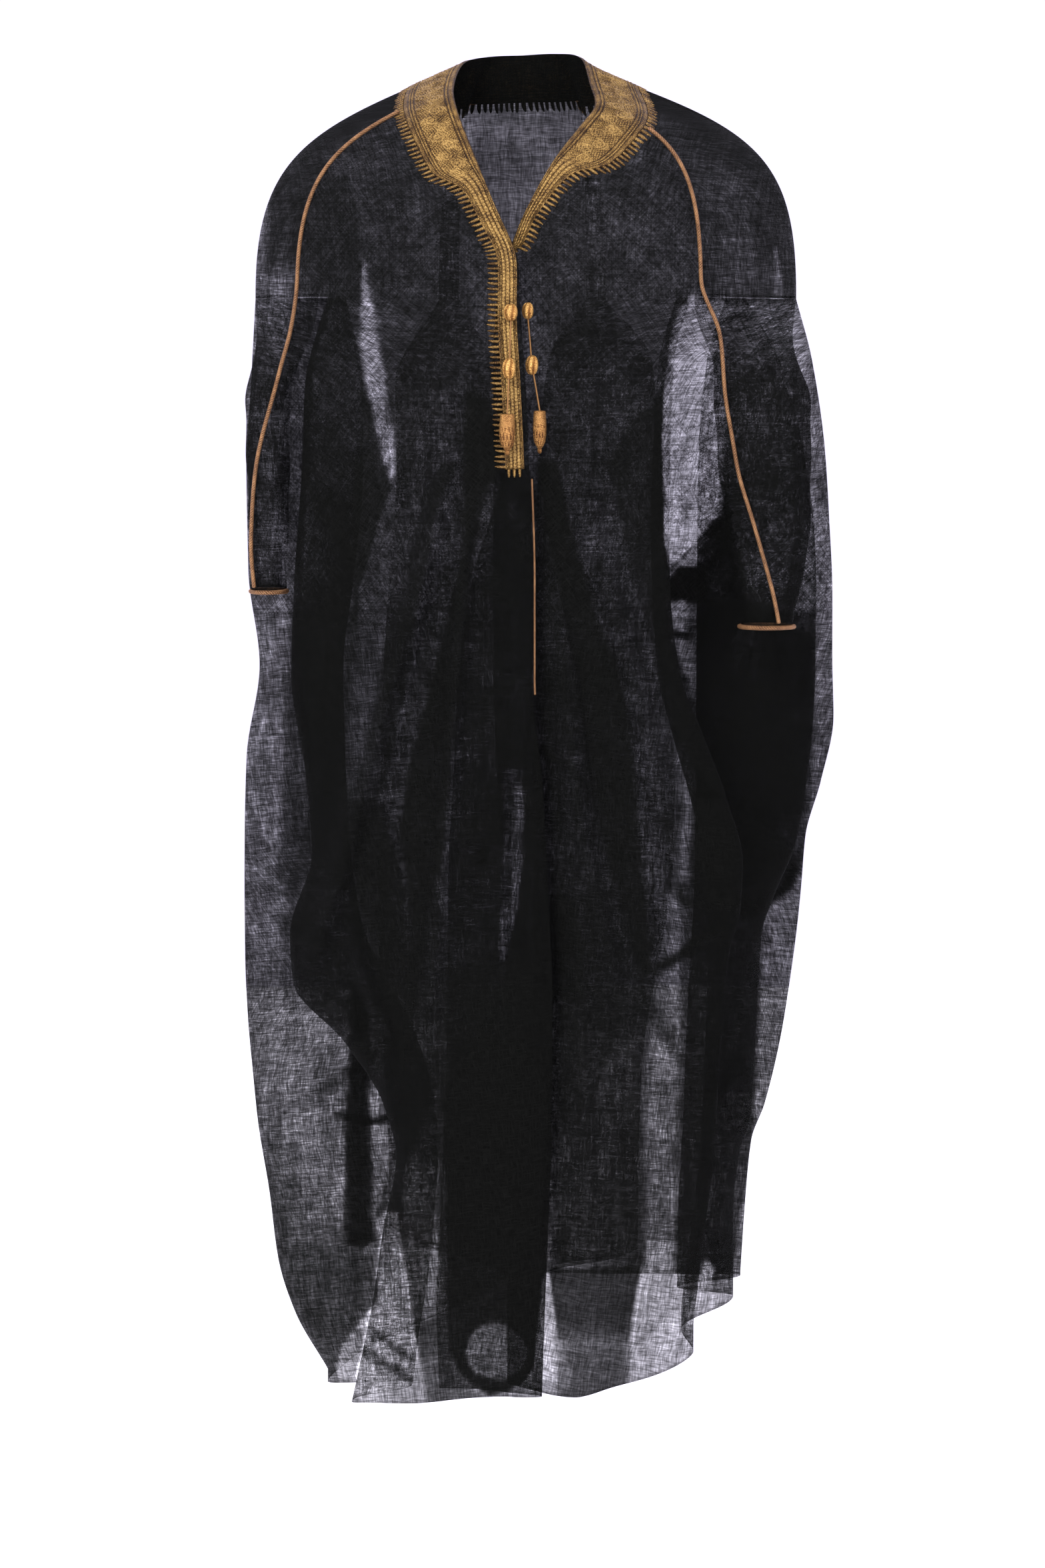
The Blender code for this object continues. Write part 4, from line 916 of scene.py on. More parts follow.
RIGHT_DRAPE = Drape(
    hand=Hand.RIGHT,
    folds=sizes(
        "height edge flap front inner side pleat_in pleat_out",
        (-210, 3, 18, 200, 185, 284, 68, 90),
        (-300, -3, 18, 224, 168, 290, 25, 138),
        (-390, -7, 22, 228, 168, 296, 18, 137),
        (-500, -10, 52, 236, 178, 295, 15, 145),
        (-600, -10, 66, 240, 190, 284, 12, 152),
        (-700, -20, 71, 226, 188, 299, 12, 156),
        (-785, -25, 76, 220, 184, 302, 12, 158),
        (-870, -29, 77, 243, 172, 303, 12, 160),
        (-920, -31, 78, 240, 152, 303, 12, 160),
        (-985, -31, 79, 186, 118, 301, 12, 158),
        (-1050, -30, 81, 146, 98, 296, 12, 155),
        (-1105, -29, 83, 133, 90, 291, 12, 152),
        (-1185, -26, 87, 147, 95, 279, 12, 150),
        (-1260, -23, 90, 158, 102, 270, 12, 150),
        (-1320, -21, 88, 170, 112, 252, 12, 146),
        (-1385, -19, 85, 184, 120, 216, 12, 140)),
    turns=(Turn("flap", 0.085, -1.343), Turn("edge", 0.020, -1.345), Turn("crown", 0.000, -1.343),
           Turn("front", 0.200, -1.370), Turn("inner", 0.480, -1.378), Turn("side", 0.720, -1.400),
           Turn("pleat_in", 0.860, -1.290), Turn("pleat_out", 0.925, -1.240),
           Turn("spine", 1.000, -1.308)),
    steps=(3, 3, 11, 5, 6, 6, 5, 5),
    neck=((0.0110, -0.1320, -0.155), (0.0278, -0.1230, -0.119), (0.0477, -0.0990, -0.070),
          (0.0681, -0.0600, -0.016), (0.0705, -0.0120, 0.012), (0.0600, 0.0380, 0.037),
          (0.0340, 0.0640, 0.045), (0.0000, 0.0720, 0.047)),
    rise=(0.74, 0.25, 0.63),
    piping_foot=0.29,
    ridges=(
        Ridge(0.015, 0.022, route((-340, 70), (-470, 98), (-630, 144), (-800, 190), (-920, 228))),
        Ridge(0.012, 0.016, route((-400, 55), (-560, 66), (-710, 79), (-820, 87), (-980, 100))),
    ),
    # a crease's cover is painted shade along it where positive and a painted highlight where negative
    creases=(
        Crease(0.002, 0.004, (3, -588, -16, -593, -33, -603, -52, -615), cover=-0.4),
        Crease(-0.002, 0.004, (3, -595, -16, -600, -33, -610, -49, -621), cover=0.8),
        Crease(0.003, 0.0035, (
            -90, -430, -95, -471, -101, -498, -108, -539, -113, -587, -126, -634, -133, -676,
            -146, -717), cover=-0.6),
        Crease(0.003, 0.003, (-201, -1050, -187, -1054, -158, -1060, -136, -1056, -126, -1050), cover=3.5),
        Crease(0.004, 0.007, (-146, -982, -168, -998, -196, -1019, -224, -1037, -245, -1044), cover=0.7),
        Crease(0.003, 0.005, (-185, -1292, -156, -1310, -128, -1327, -102, -1345), cover=0.6),
        Crease(0.003, 0.004, (-166, -1274, -135, -1299, -107, -1320), cover=0.5),
        Crease(0.004, 0.01, (-213, -423, -179, -471, -152, -518), cover=0.3),
        Crease(0.004, 0.012, (-117, -135, -97, -195, -64, -262), cover=0.3),
        Crease(0.003, 0.006, (-64, -288, -84, -342, -89, -410), cover=-0.2),
        Crease(0.007, 0.014, (-60, -270, -52, -600, -70, -1100), rear=True),
        Crease(0.006, 0.012, (-205, -300, -190, -700, -215, -1150), rear=True),
        Crease(0.004, 0.009, (-20, -800, -120, -950, -220, -1020), rear=True),
    ),
)
LEFT_DRAPE = Drape(
    hand=Hand.LEFT,
    folds=sizes(
        "height edge breast front tuck pouch inner side pleat_in pleat_out",
        (-210, -26, 60, 170, 160, 235, 215, 292, 68, 90),
        (-275, -30, 60, 156, 142, 272, 196, 310, 28, 140),
        (-370, -30, 60, 152, 136, 298, 188, 325, 18, 148),
        (-450, -30, 60, 151, 134, 310, 187, 331, 15, 150),
        (-520, -30, 60, 153, 136, 313, 187, 335, 12, 152),
        (-600, -30, 60, 164, 142, 313, 187, 336, 12, 158),
        (-660, -28, 60, 187, 156, 311, 187, 338, 12, 162),
        (-730, -25, 60, 213, 176, 304, 187, 325, 12, 168),
        (-790, -22, 60, 228, 190, 294, 187, 309, 12, 168),
        (-845, -20, 60, 226, 196, 272, 186, 305, 12, 166),
        (-890, -18, 60, 215, 196, 258, 184, 301, 12, 160),
        (-970, -16, 60, 208, 195, 254, 180, 291, 12, 146),
        (-1015, -16, 60, 205, 193, 252, 178, 284, 12, 138),
        (-1090, -16, 60, 202, 190, 248, 176, 267, 12, 132),
        (-1130, -16, 60, 198, 187, 236, 174, 253, 12, 131),
        (-1195, -16, 58, 190, 180, 230, 171, 247, 12, 130),
        (-1280, -16, 56, 180, 170, 230, 170, 242, 12, 130)),
    turns=(Turn("edge", 0.140, -1.345), Turn("breast", 0.058, -1.350), Turn("front", 0.160, -1.312),
           Turn("tuck", 0.350, -1.306), Turn("pouch", 0.580, -1.290), Turn("inner", 0.665, -1.288),
           Turn("side", 0.770, -1.284), Turn("pleat_in", 0.870, -1.290),
           Turn("pleat_out", 0.930, -1.268), Turn("spine", 1.000, -1.308)),
    steps=(5, 7, 4, 5, 5, 4, 6, 5, 5),
    neck=((-0.0160, -0.1100, -0.170), (0.0014, -0.1120, -0.127), (0.0314, -0.0980, -0.073),
          (0.0590, -0.0720, -0.036), (0.0745, -0.0480, -0.014), (0.0700, -0.0080, 0.011),
          (0.0605, 0.0380, 0.042), (0.0340, 0.0640, 0.048), (0.0000, 0.0720, 0.047)),
    rise=(0.82, 0.21, 0.64),
    piping_foot=0.10,
    ridges=(
        Ridge(0.015, 0.020, route((-360, 45), (-515, 90), (-630, 122), (-750, 150), (-900, 185))),
        Ridge(0.013, 0.016, route((-500, 30), (-710, 55), (-870, 86), (-1020, 115), (-1150, 125))),
        Hump(out=0.245, height=-0.785, width=0.060, tall=0.050, swell=0.020),
        Ridge(0.015, 0.010, route((-620, 50), (-900, 60), (-1100, 66), (-1250, 70), (-1350, 72))),
    ),
    # a crease's cover is painted shade along it where positive and a painted highlight where negative
    creases=(
        Crease(0.003, 0.004, (11, -667, 32, -682, 52, -693, 70, -718), cover=1.2),
        Crease(0.004, 0.006, (106, -450, 113, -498, 123, -532, 137, -593, 156, -648), cover=-0.35),
        Crease(0.004, 0.005, (
            145, -802, 164, -827, 183, -833, 210, -838, 238, -836, 256, -827, 271, -814, 283, -787,
            289, -762), cover=2.0),
        Crease(0.004, 0.005, (
            120, -894, 138, -899, 155, -890, 176, -876, 200, -864, 228, -860), cover=2.2),
        Crease(0.002, 0.0035, (
            19, -416, 28, -471, 36, -498, 45, -559, 52, -593, 57, -621, 64, -689, 70, -717), cover=-0.4),
        Crease(0.003, 0.006, (83, -772, 93, -807, 111, -883, 121, -911, 142, -953, 156, -970), cover=-0.3),
        Crease(0.002, 0.004, (127, -1085, 158, -1081), cover=0.6),
        Crease(0.002, 0.004, (157, -1249, 140, -1274, 116, -1299), cover=0.4),
        Crease(0.004, 0.012, (118, -154, 78, -215, 51, -288), cover=0.3),
        Crease(0.003, 0.005, (239, -974, 204, -1030, 177, -1114), cover=0.5),
        Crease(0.007, 0.014, (85, -280, 70, -620, 95, -1120), rear=True),
        Crease(0.006, 0.012, (215, -300, 200, -660, 190, -1100), rear=True),
        Crease(0.004, 0.009, (40, -580, 130, -660, 230, -700), rear=True),
    ),
)


# ---- meshes ------------------------------------------------------------------------------------
@dataclass
class Grid:
    """A grid of points with the cloth's own measure across and down, and its cover, which holds extra
    layers and painted light and shade.
    """

    points: np.ndarray
    across: np.ndarray
    down: np.ndarray
    cover: np.ndarray
    closed: bool = False
    flip: bool = False


def grid_mesh(name: str, grids: Sequence[Grid]) -> bpy.types.Object:
    """One smooth surface from grids that share their border points.

    Args:
        name: The object's name.
        grids: The grids, each with its points by row and column.

    Returns:
        A linked object whose UV map "weave" holds metres of cloth across and down, and whose
        attribute "cover" holds its extra layers and its painted light and shade.
    """
    points, weave, cover, faces, base = [], [], [], [], 0
    for grid in grids:
        rows, columns = grid.points.shape[:2]
        ids = base + np.arange(rows * columns).reshape(rows, columns)
        right = np.roll(ids, -1, axis=1) if grid.closed else ids[:, 1:]
        left = ids if grid.closed else ids[:, :-1]
        quads = np.stack((left[:-1], right[:-1], right[1:], left[1:]), axis=-1).reshape(-1, 4)
        faces.append(quads[:, ::-1] if grid.flip else quads)
        points.append(grid.points.reshape(-1, 3))
        weave.append(np.stack((grid.across, grid.down), axis=-1).reshape(-1, 2))
        cover.append(grid.cover.reshape(-1))
        base += rows * columns
    points, weave = np.concatenate(points), np.concatenate(weave)
    cover, faces = np.concatenate(cover), np.concatenate(faces)
    _, kept, merged = np.unique(np.round(points * 2e5).astype(np.int64), axis=0,
                                return_index=True, return_inverse=True)
    loops = merged.reshape(-1)[faces]
    mesh = bpy.data.meshes.new(name)
    mesh.from_pydata(points[kept].tolist(), [], loops.tolist())
    layer = mesh.uv_layers.new(name="weave")
    order = np.empty(len(mesh.loops), dtype=np.int32)
    mesh.loops.foreach_get("vertex_index", order)
    layer.data.foreach_set("uv", weave[kept][order].astype(np.float32).ravel())
    layers = mesh.attributes.new("cover", "FLOAT", "POINT")
    layers.data.foreach_set("value", cover[kept].astype(np.float32))
    mesh.shade_smooth()
    return linked(name, mesh)


def run_across(points: np.ndarray) -> np.ndarray:
    """Distance along each row of a grid from its first column."""
    steps = np.linalg.norm(np.diff(points, axis=1), axis=2)
    return np.concatenate((np.zeros((len(points), 1)), np.cumsum(steps, axis=1)), axis=1)


def run_down(points: np.ndarray) -> np.ndarray:
    """Distance down each column of a grid from its first row."""
    return run_across(points.transpose(1, 0, 2)).T


def linked(name: str, data: bpy.types.ID) -> bpy.types.Object:
    """A new object in the scene.

    Args:
        name: The object's name.
        data: What it holds.

    Returns:
        The object.
    """
    obj = bpy.data.objects.new(name, data)
    bpy.context.scene.collection.objects.link(obj)
    return obj


class Hanger:
    """Fastens finished pieces to the cloak's body and names what each stands for."""

    def hang(self, piece: bpy.types.Object, slot: str, *nodes: str) -> bpy.types.Object:
        """Make a piece ride on the cloak.

        Args:
            piece: The finished piece.
            slot: Not used.
            *nodes: The solids it stands for.

        Returns:
            The piece.
        """
        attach(piece, BODY)
        if nodes:
            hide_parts(*nodes)
        LOG.info("%s: %s", piece.name, ", ".join(nodes) or "added")
        return piece


# ---- finishes ----------------------------------------------------------------------------------
@dataclass(frozen=True)
class Mottle:
    """Noise over the cloth, in spots to a metre across and down."""

    across: float
    down: float
    seed: float            # place of this noise, to keep it apart from others
    detail: float = 2.0
    roughness: float = 0.5


class Nodes:
    """A material's node tree with short ways to add to it."""

    def __init__(self, name: str) -> None:
        """Start a material with one Principled shader.

        Args:
            name: The material's name.
        """
        self.material = bpy.data.materials.new(name)
        self.material.use_nodes = True
        self.tree = self.material.node_tree
        self.shader = self.tree.nodes["Principled BSDF"]

    def add(self, kind: str, **values: object) -> bpy.types.Node:
        """Add a node and set its own properties.

        Args:
            kind: Type of the node.
            **values: Its properties.

        Returns:
            The node.
        """
        node = self.tree.nodes.new(kind)
        for key, value in values.items():
            setattr(node, key, value)
        return node

    def link(self, source: Socket, target: Socket) -> None:
        """Join an output to an input."""
        self.tree.links.new(source, target)

    def math(self, operation: str, *terms: Socket | float) -> Socket:
        """Add a sum of sockets or numbers and return its output.

        Args:
            operation: The sum.
            *terms: Its terms in order.

        Returns:
            The output.
        """
        node = self.add("ShaderNodeMath", operation=operation)
        for socket, value in zip(node.inputs, terms):
            if isinstance(value, float):
                socket.default_value = value
            else:
                self.link(value, socket)
        return node.outputs[0]

    def weave(self) -> tuple[Socket, Socket]:
        """Across and down of the cloth, in metres.

        Returns:
            Sockets with the measures across and down.
        """
        split = self.add("ShaderNodeSeparateXYZ")
        self.link(self.add("ShaderNodeUVMap", uv_map="weave").outputs["UV"], split.inputs[0])
        return split.outputs["X"], split.outputs["Y"]

    def attribute(self, name: str) -> Socket:
        """Value of a mesh attribute."""
        return self.add("ShaderNodeAttribute", attribute_name=name).outputs["Fac"]

    def noise(self, x: Socket, y: Socket, mottle: Mottle) -> Socket:
        """Noise stretched along the threads.

        Args:
            x: Socket with the measure across.
            y: Socket with the measure down.
            mottle: The noise's sizes.

        Returns:
            Output from about 0.25 to 0.75.
        """
        join = self.add("ShaderNodeCombineXYZ")
        self.link(self.math("MULTIPLY", x, mottle.across), join.inputs["X"])
        self.link(self.math("MULTIPLY", y, mottle.down), join.inputs["Y"])
        join.inputs["Z"].default_value = mottle.seed
        node = self.add("ShaderNodeTexNoise", noise_dimensions="3D")
        node.inputs["Scale"].default_value = 1.0
        node.inputs["Detail"].default_value = mottle.detail
        node.inputs["Roughness"].default_value = mottle.roughness
        self.link(join.outputs[0], node.inputs["Vector"])
        return node.outputs["Fac"]

    def ramp(self, value: Socket, low: float, high: float, floor: float,
             ceiling: float) -> Socket:
        """Map a range of a socket to another range, held at its ends.

        Args:
            value: The socket.
            low: Value that becomes the floor.
            high: Value that becomes the ceiling.
            floor: Result at and below low.
            ceiling: Result at and above high.

        Returns:
            The output.
        """
        node = self.add("ShaderNodeMapRange", clamp=True)
        self.link(value, node.inputs["Value"])
        for key, number in zip(("From Min", "From Max", "To Min", "To Max"),
                               (low, high, floor, ceiling)):
            node.inputs[key].default_value = number
        return node.outputs["Result"]

    def blend(self, value: Socket, *stops: tuple[float, Colour]) -> Socket:
        """Colour of a value between the given stops.

        Args:
            value: The socket that chooses.
            *stops: Places and their colours.

        Returns:
            The output.
        """
        node = self.add("ShaderNodeValToRGB")
        elements = node.color_ramp.elements
        for k, (place, colour) in enumerate(stops):
            stop = elements[k] if k < 2 else elements.new(place)
            stop.position = place
            stop.color = (*colour, 1.0)
        self.link(value, node.inputs["Fac"])
        return node.outputs["Color"]

    def bump(self, height: Socket, distance: float, strength: float) -> None:
        """Raise the surface by a socket's height.

        Args:
            height: Socket with the height.
            distance: Metres to a unit of height.
            strength: Share of the effect.
        """
        node = self.add("ShaderNodeBump")
        node.inputs["Distance"].default_value = distance
        node.inputs["Strength"].default_value = strength
        self.link(height, node.inputs["Height"])
        self.link(node.outputs["Normal"], self.shader.inputs["Normal"])

    def constants(self, **values: float | tuple[float, ...]) -> None:
        """Set the shader's own sockets, with underscores for spaces in their names."""
        for key, value in values.items():
            self.shader.inputs[key.replace("_", " ")].default_value = value


@dataclass(frozen=True)
class SheerWool:
    """Black, open, slubby plain-weave wool through which light passes."""

    name: str = "sheer_wool"
    turn: float = 0.0              # how far the threads lie off the plumb line, in degrees
    open_share: float = 0.262      # light that one layer lets through
    most_open: float = 0.9
    roughness: float = 0.85
    sway: Mottle = Mottle(34.0, 34.0, 37.0)
    swing: float = 0.0014          # how far the threads sway to a side
    warp: Mottle = Mottle(640.0, 75.0, 1.0, 1.5, 0.6)
    weft: Mottle = Mottle(75.0, 640.0, 7.0, 1.5, 0.6)
    spread: Pair = (0.50, 1.52)    # least and most light that the threads' mottle leaves
    unevenness: tuple[tuple[Mottle, float], ...] = (        # slubs, blotches and clouds
        (Mottle(230.0, 15.0, 13.0, 2.0, 0.6), 0.66), (Mottle(15.0, 230.0, 23.0, 2.0, 0.6), 0.66),
        (Mottle(58.0, 30.0, 19.0), 0.72), (Mottle(14.0, 9.0, 29.0), 0.66))
    shadow: Colour = (0.0017, 0.0018, 0.0015)
    fuzz: Colour = (0.0048, 0.0050, 0.0043)

    def material(self) -> bpy.types.Material:
        """Build the wool's material.

        Returns:
            The material.
        """
        n = Nodes(self.name)
        x, y = n.weave()
        sway = n.ramp(n.noise(x, y, self.sway), 0.25, 0.75, -self.swing, self.swing)
        x, y = n.math("ADD", x, sway), n.math("SUBTRACT", y, sway)
        side, down = math.cos(math.radians(self.turn)), math.sin(math.radians(self.turn))
        x, y = (n.math("ADD", n.math("MULTIPLY", x, a), n.math("MULTIPLY", y, b))
                for a, b in ((side, down), (-down, side)))
        warp, weft = n.noise(x, y, self.warp), n.noise(x, y, self.weft)
        light = n.math("MULTIPLY", n.ramp(warp, 0.32, 0.70, *self.spread),
                       n.ramp(weft, 0.32, 0.70, *self.spread))
        for mottle, low in self.unevenness:
            part = n.ramp(n.noise(x, y, mottle), 0.30, 0.70, low, 2.0 - low)
            light = n.math("MULTIPLY", light, part)
        # the cover carries real hems and seams and the painted light and shade, as layers that stop light
        layers = n.math("ADD", n.attribute("cover"), 1.0)
        light = n.math("MULTIPLY", light, n.math("POWER", self.open_share, layers))
        light = n.math("MINIMUM", light, self.most_open)
        n.link(n.math("SUBTRACT", 1.0, light), n.shader.inputs["Alpha"])
        fibre = n.math("MAXIMUM", warp, weft)
        n.link(n.blend(fibre, (0.35, self.shadow), (0.75, self.fuzz)),
               n.shader.inputs["Base Color"])
        n.bump(fibre, 0.0004, 0.5)
        n.constants(Roughness=self.roughness, Specular_IOR_Level=0.02, Sheen_Weight=0.003,
                    Sheen_Roughness=0.5)
        n.material.surface_render_method = "DITHERED"
        return n.material


@dataclass(frozen=True)
class Zari:
    """Couched metal thread, its colour painted from the relief: painted highlight on the ridges and
    painted shade in the grooves between them.
    """

    name: str = "zari"
    # groove is the painted shade, crest the painted highlight, body the colour between them
    groove: Colour = (0.014, 0.005, 0.0015)
    body: Colour = (0.158, 0.083, 0.018)
    crest: Colour = (0.460, 0.293, 0.088)
    metallic: float = 0.66
    roughness: float = 0.36
    lift: float = -0.05            # raises the whole finish towards its crest
    glint: Mottle = Mottle(1250.0, 1250.0, 3.0, 1.0)
    twist: Mottle = Mottle(260.0, 1700.0, 5.0, 1.0)
    cloud: Mottle = Mottle(70.0, 70.0, 11.0)
    spark: Mottle = Mottle(620.0, 620.0, 17.0, 1.0)

    def material(self) -> bpy.types.Material:
        """Build the metal thread's material.

        Returns:
            The material.
        """
        n = Nodes(self.name)
        x, y = n.weave()
        glint, twist, cloud, spark = (n.noise(x, y, part) for part in (
            self.glint, self.twist, self.cloud, self.spark))
        # the cover holds the relief, so the colour is painted darker in hollows and lighter on crests; the
        # glint and spark noises paint glints and sparkles into it
        level = n.math("ADD", n.attribute("cover"), self.lift)
        for part, reach in ((glint, 0.46), (twist, 0.18), (cloud, 0.24)):
            level = n.math("ADD", level, n.ramp(part, 0.3, 0.7, -reach, reach))
        level = n.math("ADD", level, n.ramp(spark, 0.66, 0.74, 0.0, 0.55))
        n.link(n.blend(level, (0.02, self.groove), (0.98, self.crest), (0.50, self.body)),
               n.shader.inputs["Base Color"])
        n.bump(n.math("ADD", glint, twist), 0.0011, 0.9)
        n.constants(Metallic=self.metallic, Roughness=self.roughness)
        return n.material


# each finish gives its painted shade for the grooves, its middle colour and its painted highlight for the
# crests
COPPER = Zari("copper_braid", (0.040, 0.016, 0.006), (0.200, 0.092, 0.036), (0.400, 0.215, 0.090),
              metallic=0.55, roughness=0.5)
ORANGE_GOLD = Zari("orange_gold", (0.050, 0.014, 0.002), (0.300, 0.120, 0.022),
                   (0.760, 0.440, 0.130), metallic=0.75, roughness=0.30)
TASSEL_NET = Zari("tassel_net", (0.035, 0.010, 0.002), (0.170, 0.066, 0.014),
                  (0.520, 0.270, 0.080), metallic=0.7, roughness=0.34)
STRING_GOLD = Zari("string_gold", (0.060, 0.024, 0.006), (0.230, 0.115, 0.036),
                   (0.420, 0.250, 0.090), lift=0.5)


# ---- the cloth ---------------------------------------------------------------------------------
@dataclass(frozen=True)
class Cut:
    """Flat size of a cut piece."""

    width: float
    length: float
    area: float


@dataclass
class Cloth(Hanger):
    """Fronts, back and sleeves: single sheets of sheer wool."""

    drapes: tuple[Drape, Drape] = (RIGHT_DRAPE, LEFT_DRAPE)
    wool: SheerWool = SheerWool()
    bias: SheerWool = SheerWool("sheer_wool_bias", turn=40.0)
    slant: SheerWool = SheerWool("sheer_wool_slant", turn=-9.0)
    hem: float = 0.5                 # layers added along a hem or an opening edge
    seam: float = 0.2                # layers added along the seam between the loom widths
    cuts: dict[str, Cut] = field(default_factory=lambda: {
        "front_right_upper": Cut(0.58, 0.66, 0.215), "front_right_lower": Cut(0.68, 0.85, 0.525),
        "front_left_upper": Cut(0.74, 0.66, 0.260), "front_left_lower": Cut(0.76, 0.82, 0.500),
        "back_upper": Cut(1.22, 0.66, 0.590), "back_lower": Cut(1.26, 0.86, 0.890),
        "sleeve_right": Cut(0.27, 0.31, 0.060), "sleeve_left": Cut(0.36, 0.35, 0.088)})

    def sewn(self, cover: np.ndarray, upper: bool) -> np.ndarray:
        """Add the seam between the loom widths, and the hem below it, to a cover grid.

        Args:
            cover: Extra layers by row and column.
            upper: Whether this is the upper loom width.

        Returns:
            The same grid, changed.
        """
        cover[-1 if upper else 0] += self.seam
        if not upper:
            cover[-1] += self.hem
        return cover

    def build(self) -> list[bpy.types.Object]:
        """Build every sheet of the fronts and the back.

        Returns:
            The sheets.
        """
        pieces = []
        material, bias, slant = (w.material() for w in (self.wool, self.bias, self.slant))
        backs: dict[bool, list[Grid]] = {True: [], False: []}
        level = {True: "upper", False: "lower"}
        for drape in self.drapes:
            for upper in (True, False):
                grids = self.front_grids(drape, upper)
                if upper:
                    front_yoke, back_yoke = self.yoke_grids(drape)
                    grids.insert(0, front_yoke)
                    backs[True].append(back_yoke)
                piece = grid_mesh(f"sheer_front_{drape.hand.value}_{level[upper]}", grids)
                pieces.append(self.dress(piece, bias if upper else slant))
                backs[upper].append(self.back_grid(drape, upper))
        for upper, grids in backs.items():
            piece = grid_mesh(f"sheer_back_{level[upper]}", grids)
            pieces.append(self.dress(piece, material))
        for drape in self.drapes:
            pieces.append(self.dress(Sleeve(drape).build(), material))
        return pieces

    def back_grid(self, drape: Drape, upper: bool) -> Grid:
        """Grid of one half of the back, with its pleat, at one loom width.

        Args:
            drape: The half.
            upper: Whether this is the upper loom width.

        Returns:
            The grid.
        """
        side = drape.column("side")
        back = drape.hanging(side, drape.column("spine"), upper)
        across = run_across(back)
        across = (across - across[:, -1:]) * drape.hand.sign
        folds = [drape.column(k) - side for k in PLEAT]
        # painted light and shade: the rear shades set how many layers the back counts as
        cover = layered(back, REAR_SHADES) * drape.pleated(back, *folds) - 1.0
        return Grid(back, across, back[..., 2] - YOKE_FOOT, self.sewn(cover, upper),
                    flip=drape.flip)

    def front_grids(self, drape: Drape, upper: bool) -> list[Grid]:
        """Grids of one front, with the turned-under facing of the right front below its top.

        Args:
            drape: The front.
            upper: Whether this is the upper loom width.

        Returns:
            The grids.
        """
        edge, side, flip = drape.column("edge"), drape.column("side"), drape.flip
        front = drape.hanging(edge, side, upper)
        shown = drape.shown(front, np.arange(edge, side + 1))
        # painted light and shade: the front and inner shades set how many layers the front counts as
        layers = np.where(shown > 0.5, layered(front, FRONT_SHADES), layered(front, INNER_SHADES))
        # the creases' cover paints shade along them where positive and a highlight where negative
        for crease in drape.creases:
            if crease.cover:
                layers += crease.cover * crease.share(*seen(front))
        cover = self.sewn(np.maximum(layers, 0.1) - 1.0, upper)
        cover[:, 0] += self.hem
        grids = [Grid(front, run_across(front), front[..., 2] - YOKE_FOOT, cover, flip=flip)]
        if edge == 0:
            return grids
        facing = drape.hanging(0, edge, upper)
        if upper:
            height = YOKE_FOOT + (LOOM_SEAM - YOKE_FOOT) * np.linspace(0, 1, len(facing))
            facing = facing[height <= FLAP_TOP + 0.006]
        across = run_across(facing)
        across = across - across[:, -1:]
        grids.append(Grid(facing, across, facing[..., 2] - YOKE_FOOT,
                          self.sewn(np.zeros(facing.shape[:2]), upper), flip=flip))
        return grids

    def yoke_grids(self, drape: Drape) -> list[Grid]:
        """Grids of the yoke: the front's part and the back's part.

        Args:
            drape: The half that the yoke belongs to.

        Returns:
            Both grids.
        """
        feet, _ = drape.yoke_feet()
        last = len(feet) - 1
        folds = [last - drape.column("spine") + drape.column(k) for k in PLEAT]
        grids = []
        for low, high in ((0, drape.parting), (drape.parting, last)):
            yoke = drape.yoke(low, high)
            across = run_across(yoke)
            if low:
                across = (across - across[:, -1:]) * drape.hand.sign
            down = run_down(yoke)
            down = down[-1:] - down
            behind = smooth((yoke[..., 1] + 0.05) / 0.05)
            # painted light and shade from the front and rear shades
            cover = (layered(yoke, FRONT_SHADES) - 1.0) * (1.0 - behind)
            if low:
                share = drape.pleated(yoke, *(k - low for k in folds))
                cover += (layered(yoke, REAR_SHADES) * share - 1.0) * behind
            grids.append(Grid(yoke, across, down, cover, flip=drape.flip))
        return grids

    def dress(self, piece: bpy.types.Object, material: bpy.types.Material) -> bpy.types.Object:
        """Give a sheet its wool and hang it.

        Args:
            piece: The sheet.
            material: Its wool.

        Returns:
            The sheet.
        """
        piece.data.materials.append(material)
        node = piece.name.removeprefix("sheer_")
        self.hang(piece, node, node)
        return piece


SLEEVE_RINGS = {
    Hand.RIGHT: sizes(
        "height in_x out_x front back",
        (-250, 230, 286, -92, -10),
        (-330, 241, 289, -96, -22),
        (-420, 242, 287, -94, -26),
        (-512, 246, 284, -92, -30)),
    Hand.LEFT: sizes(
        "height in_x out_x front back",
        (-250, 194, 291, -102, -42),
        (-330, 198, 300, -106, -46),
        (-440, 208, 300, -108, -48),
        (-548, 226, 283, -104, -46)),
}
SLEEVE_ARC = {Hand.RIGHT: (0.10, 0.93), Hand.LEFT: (0.06, 0.93)}
SLEEVE_BLEND = 0.11        # height over which the yoke's foot turns into the sleeve


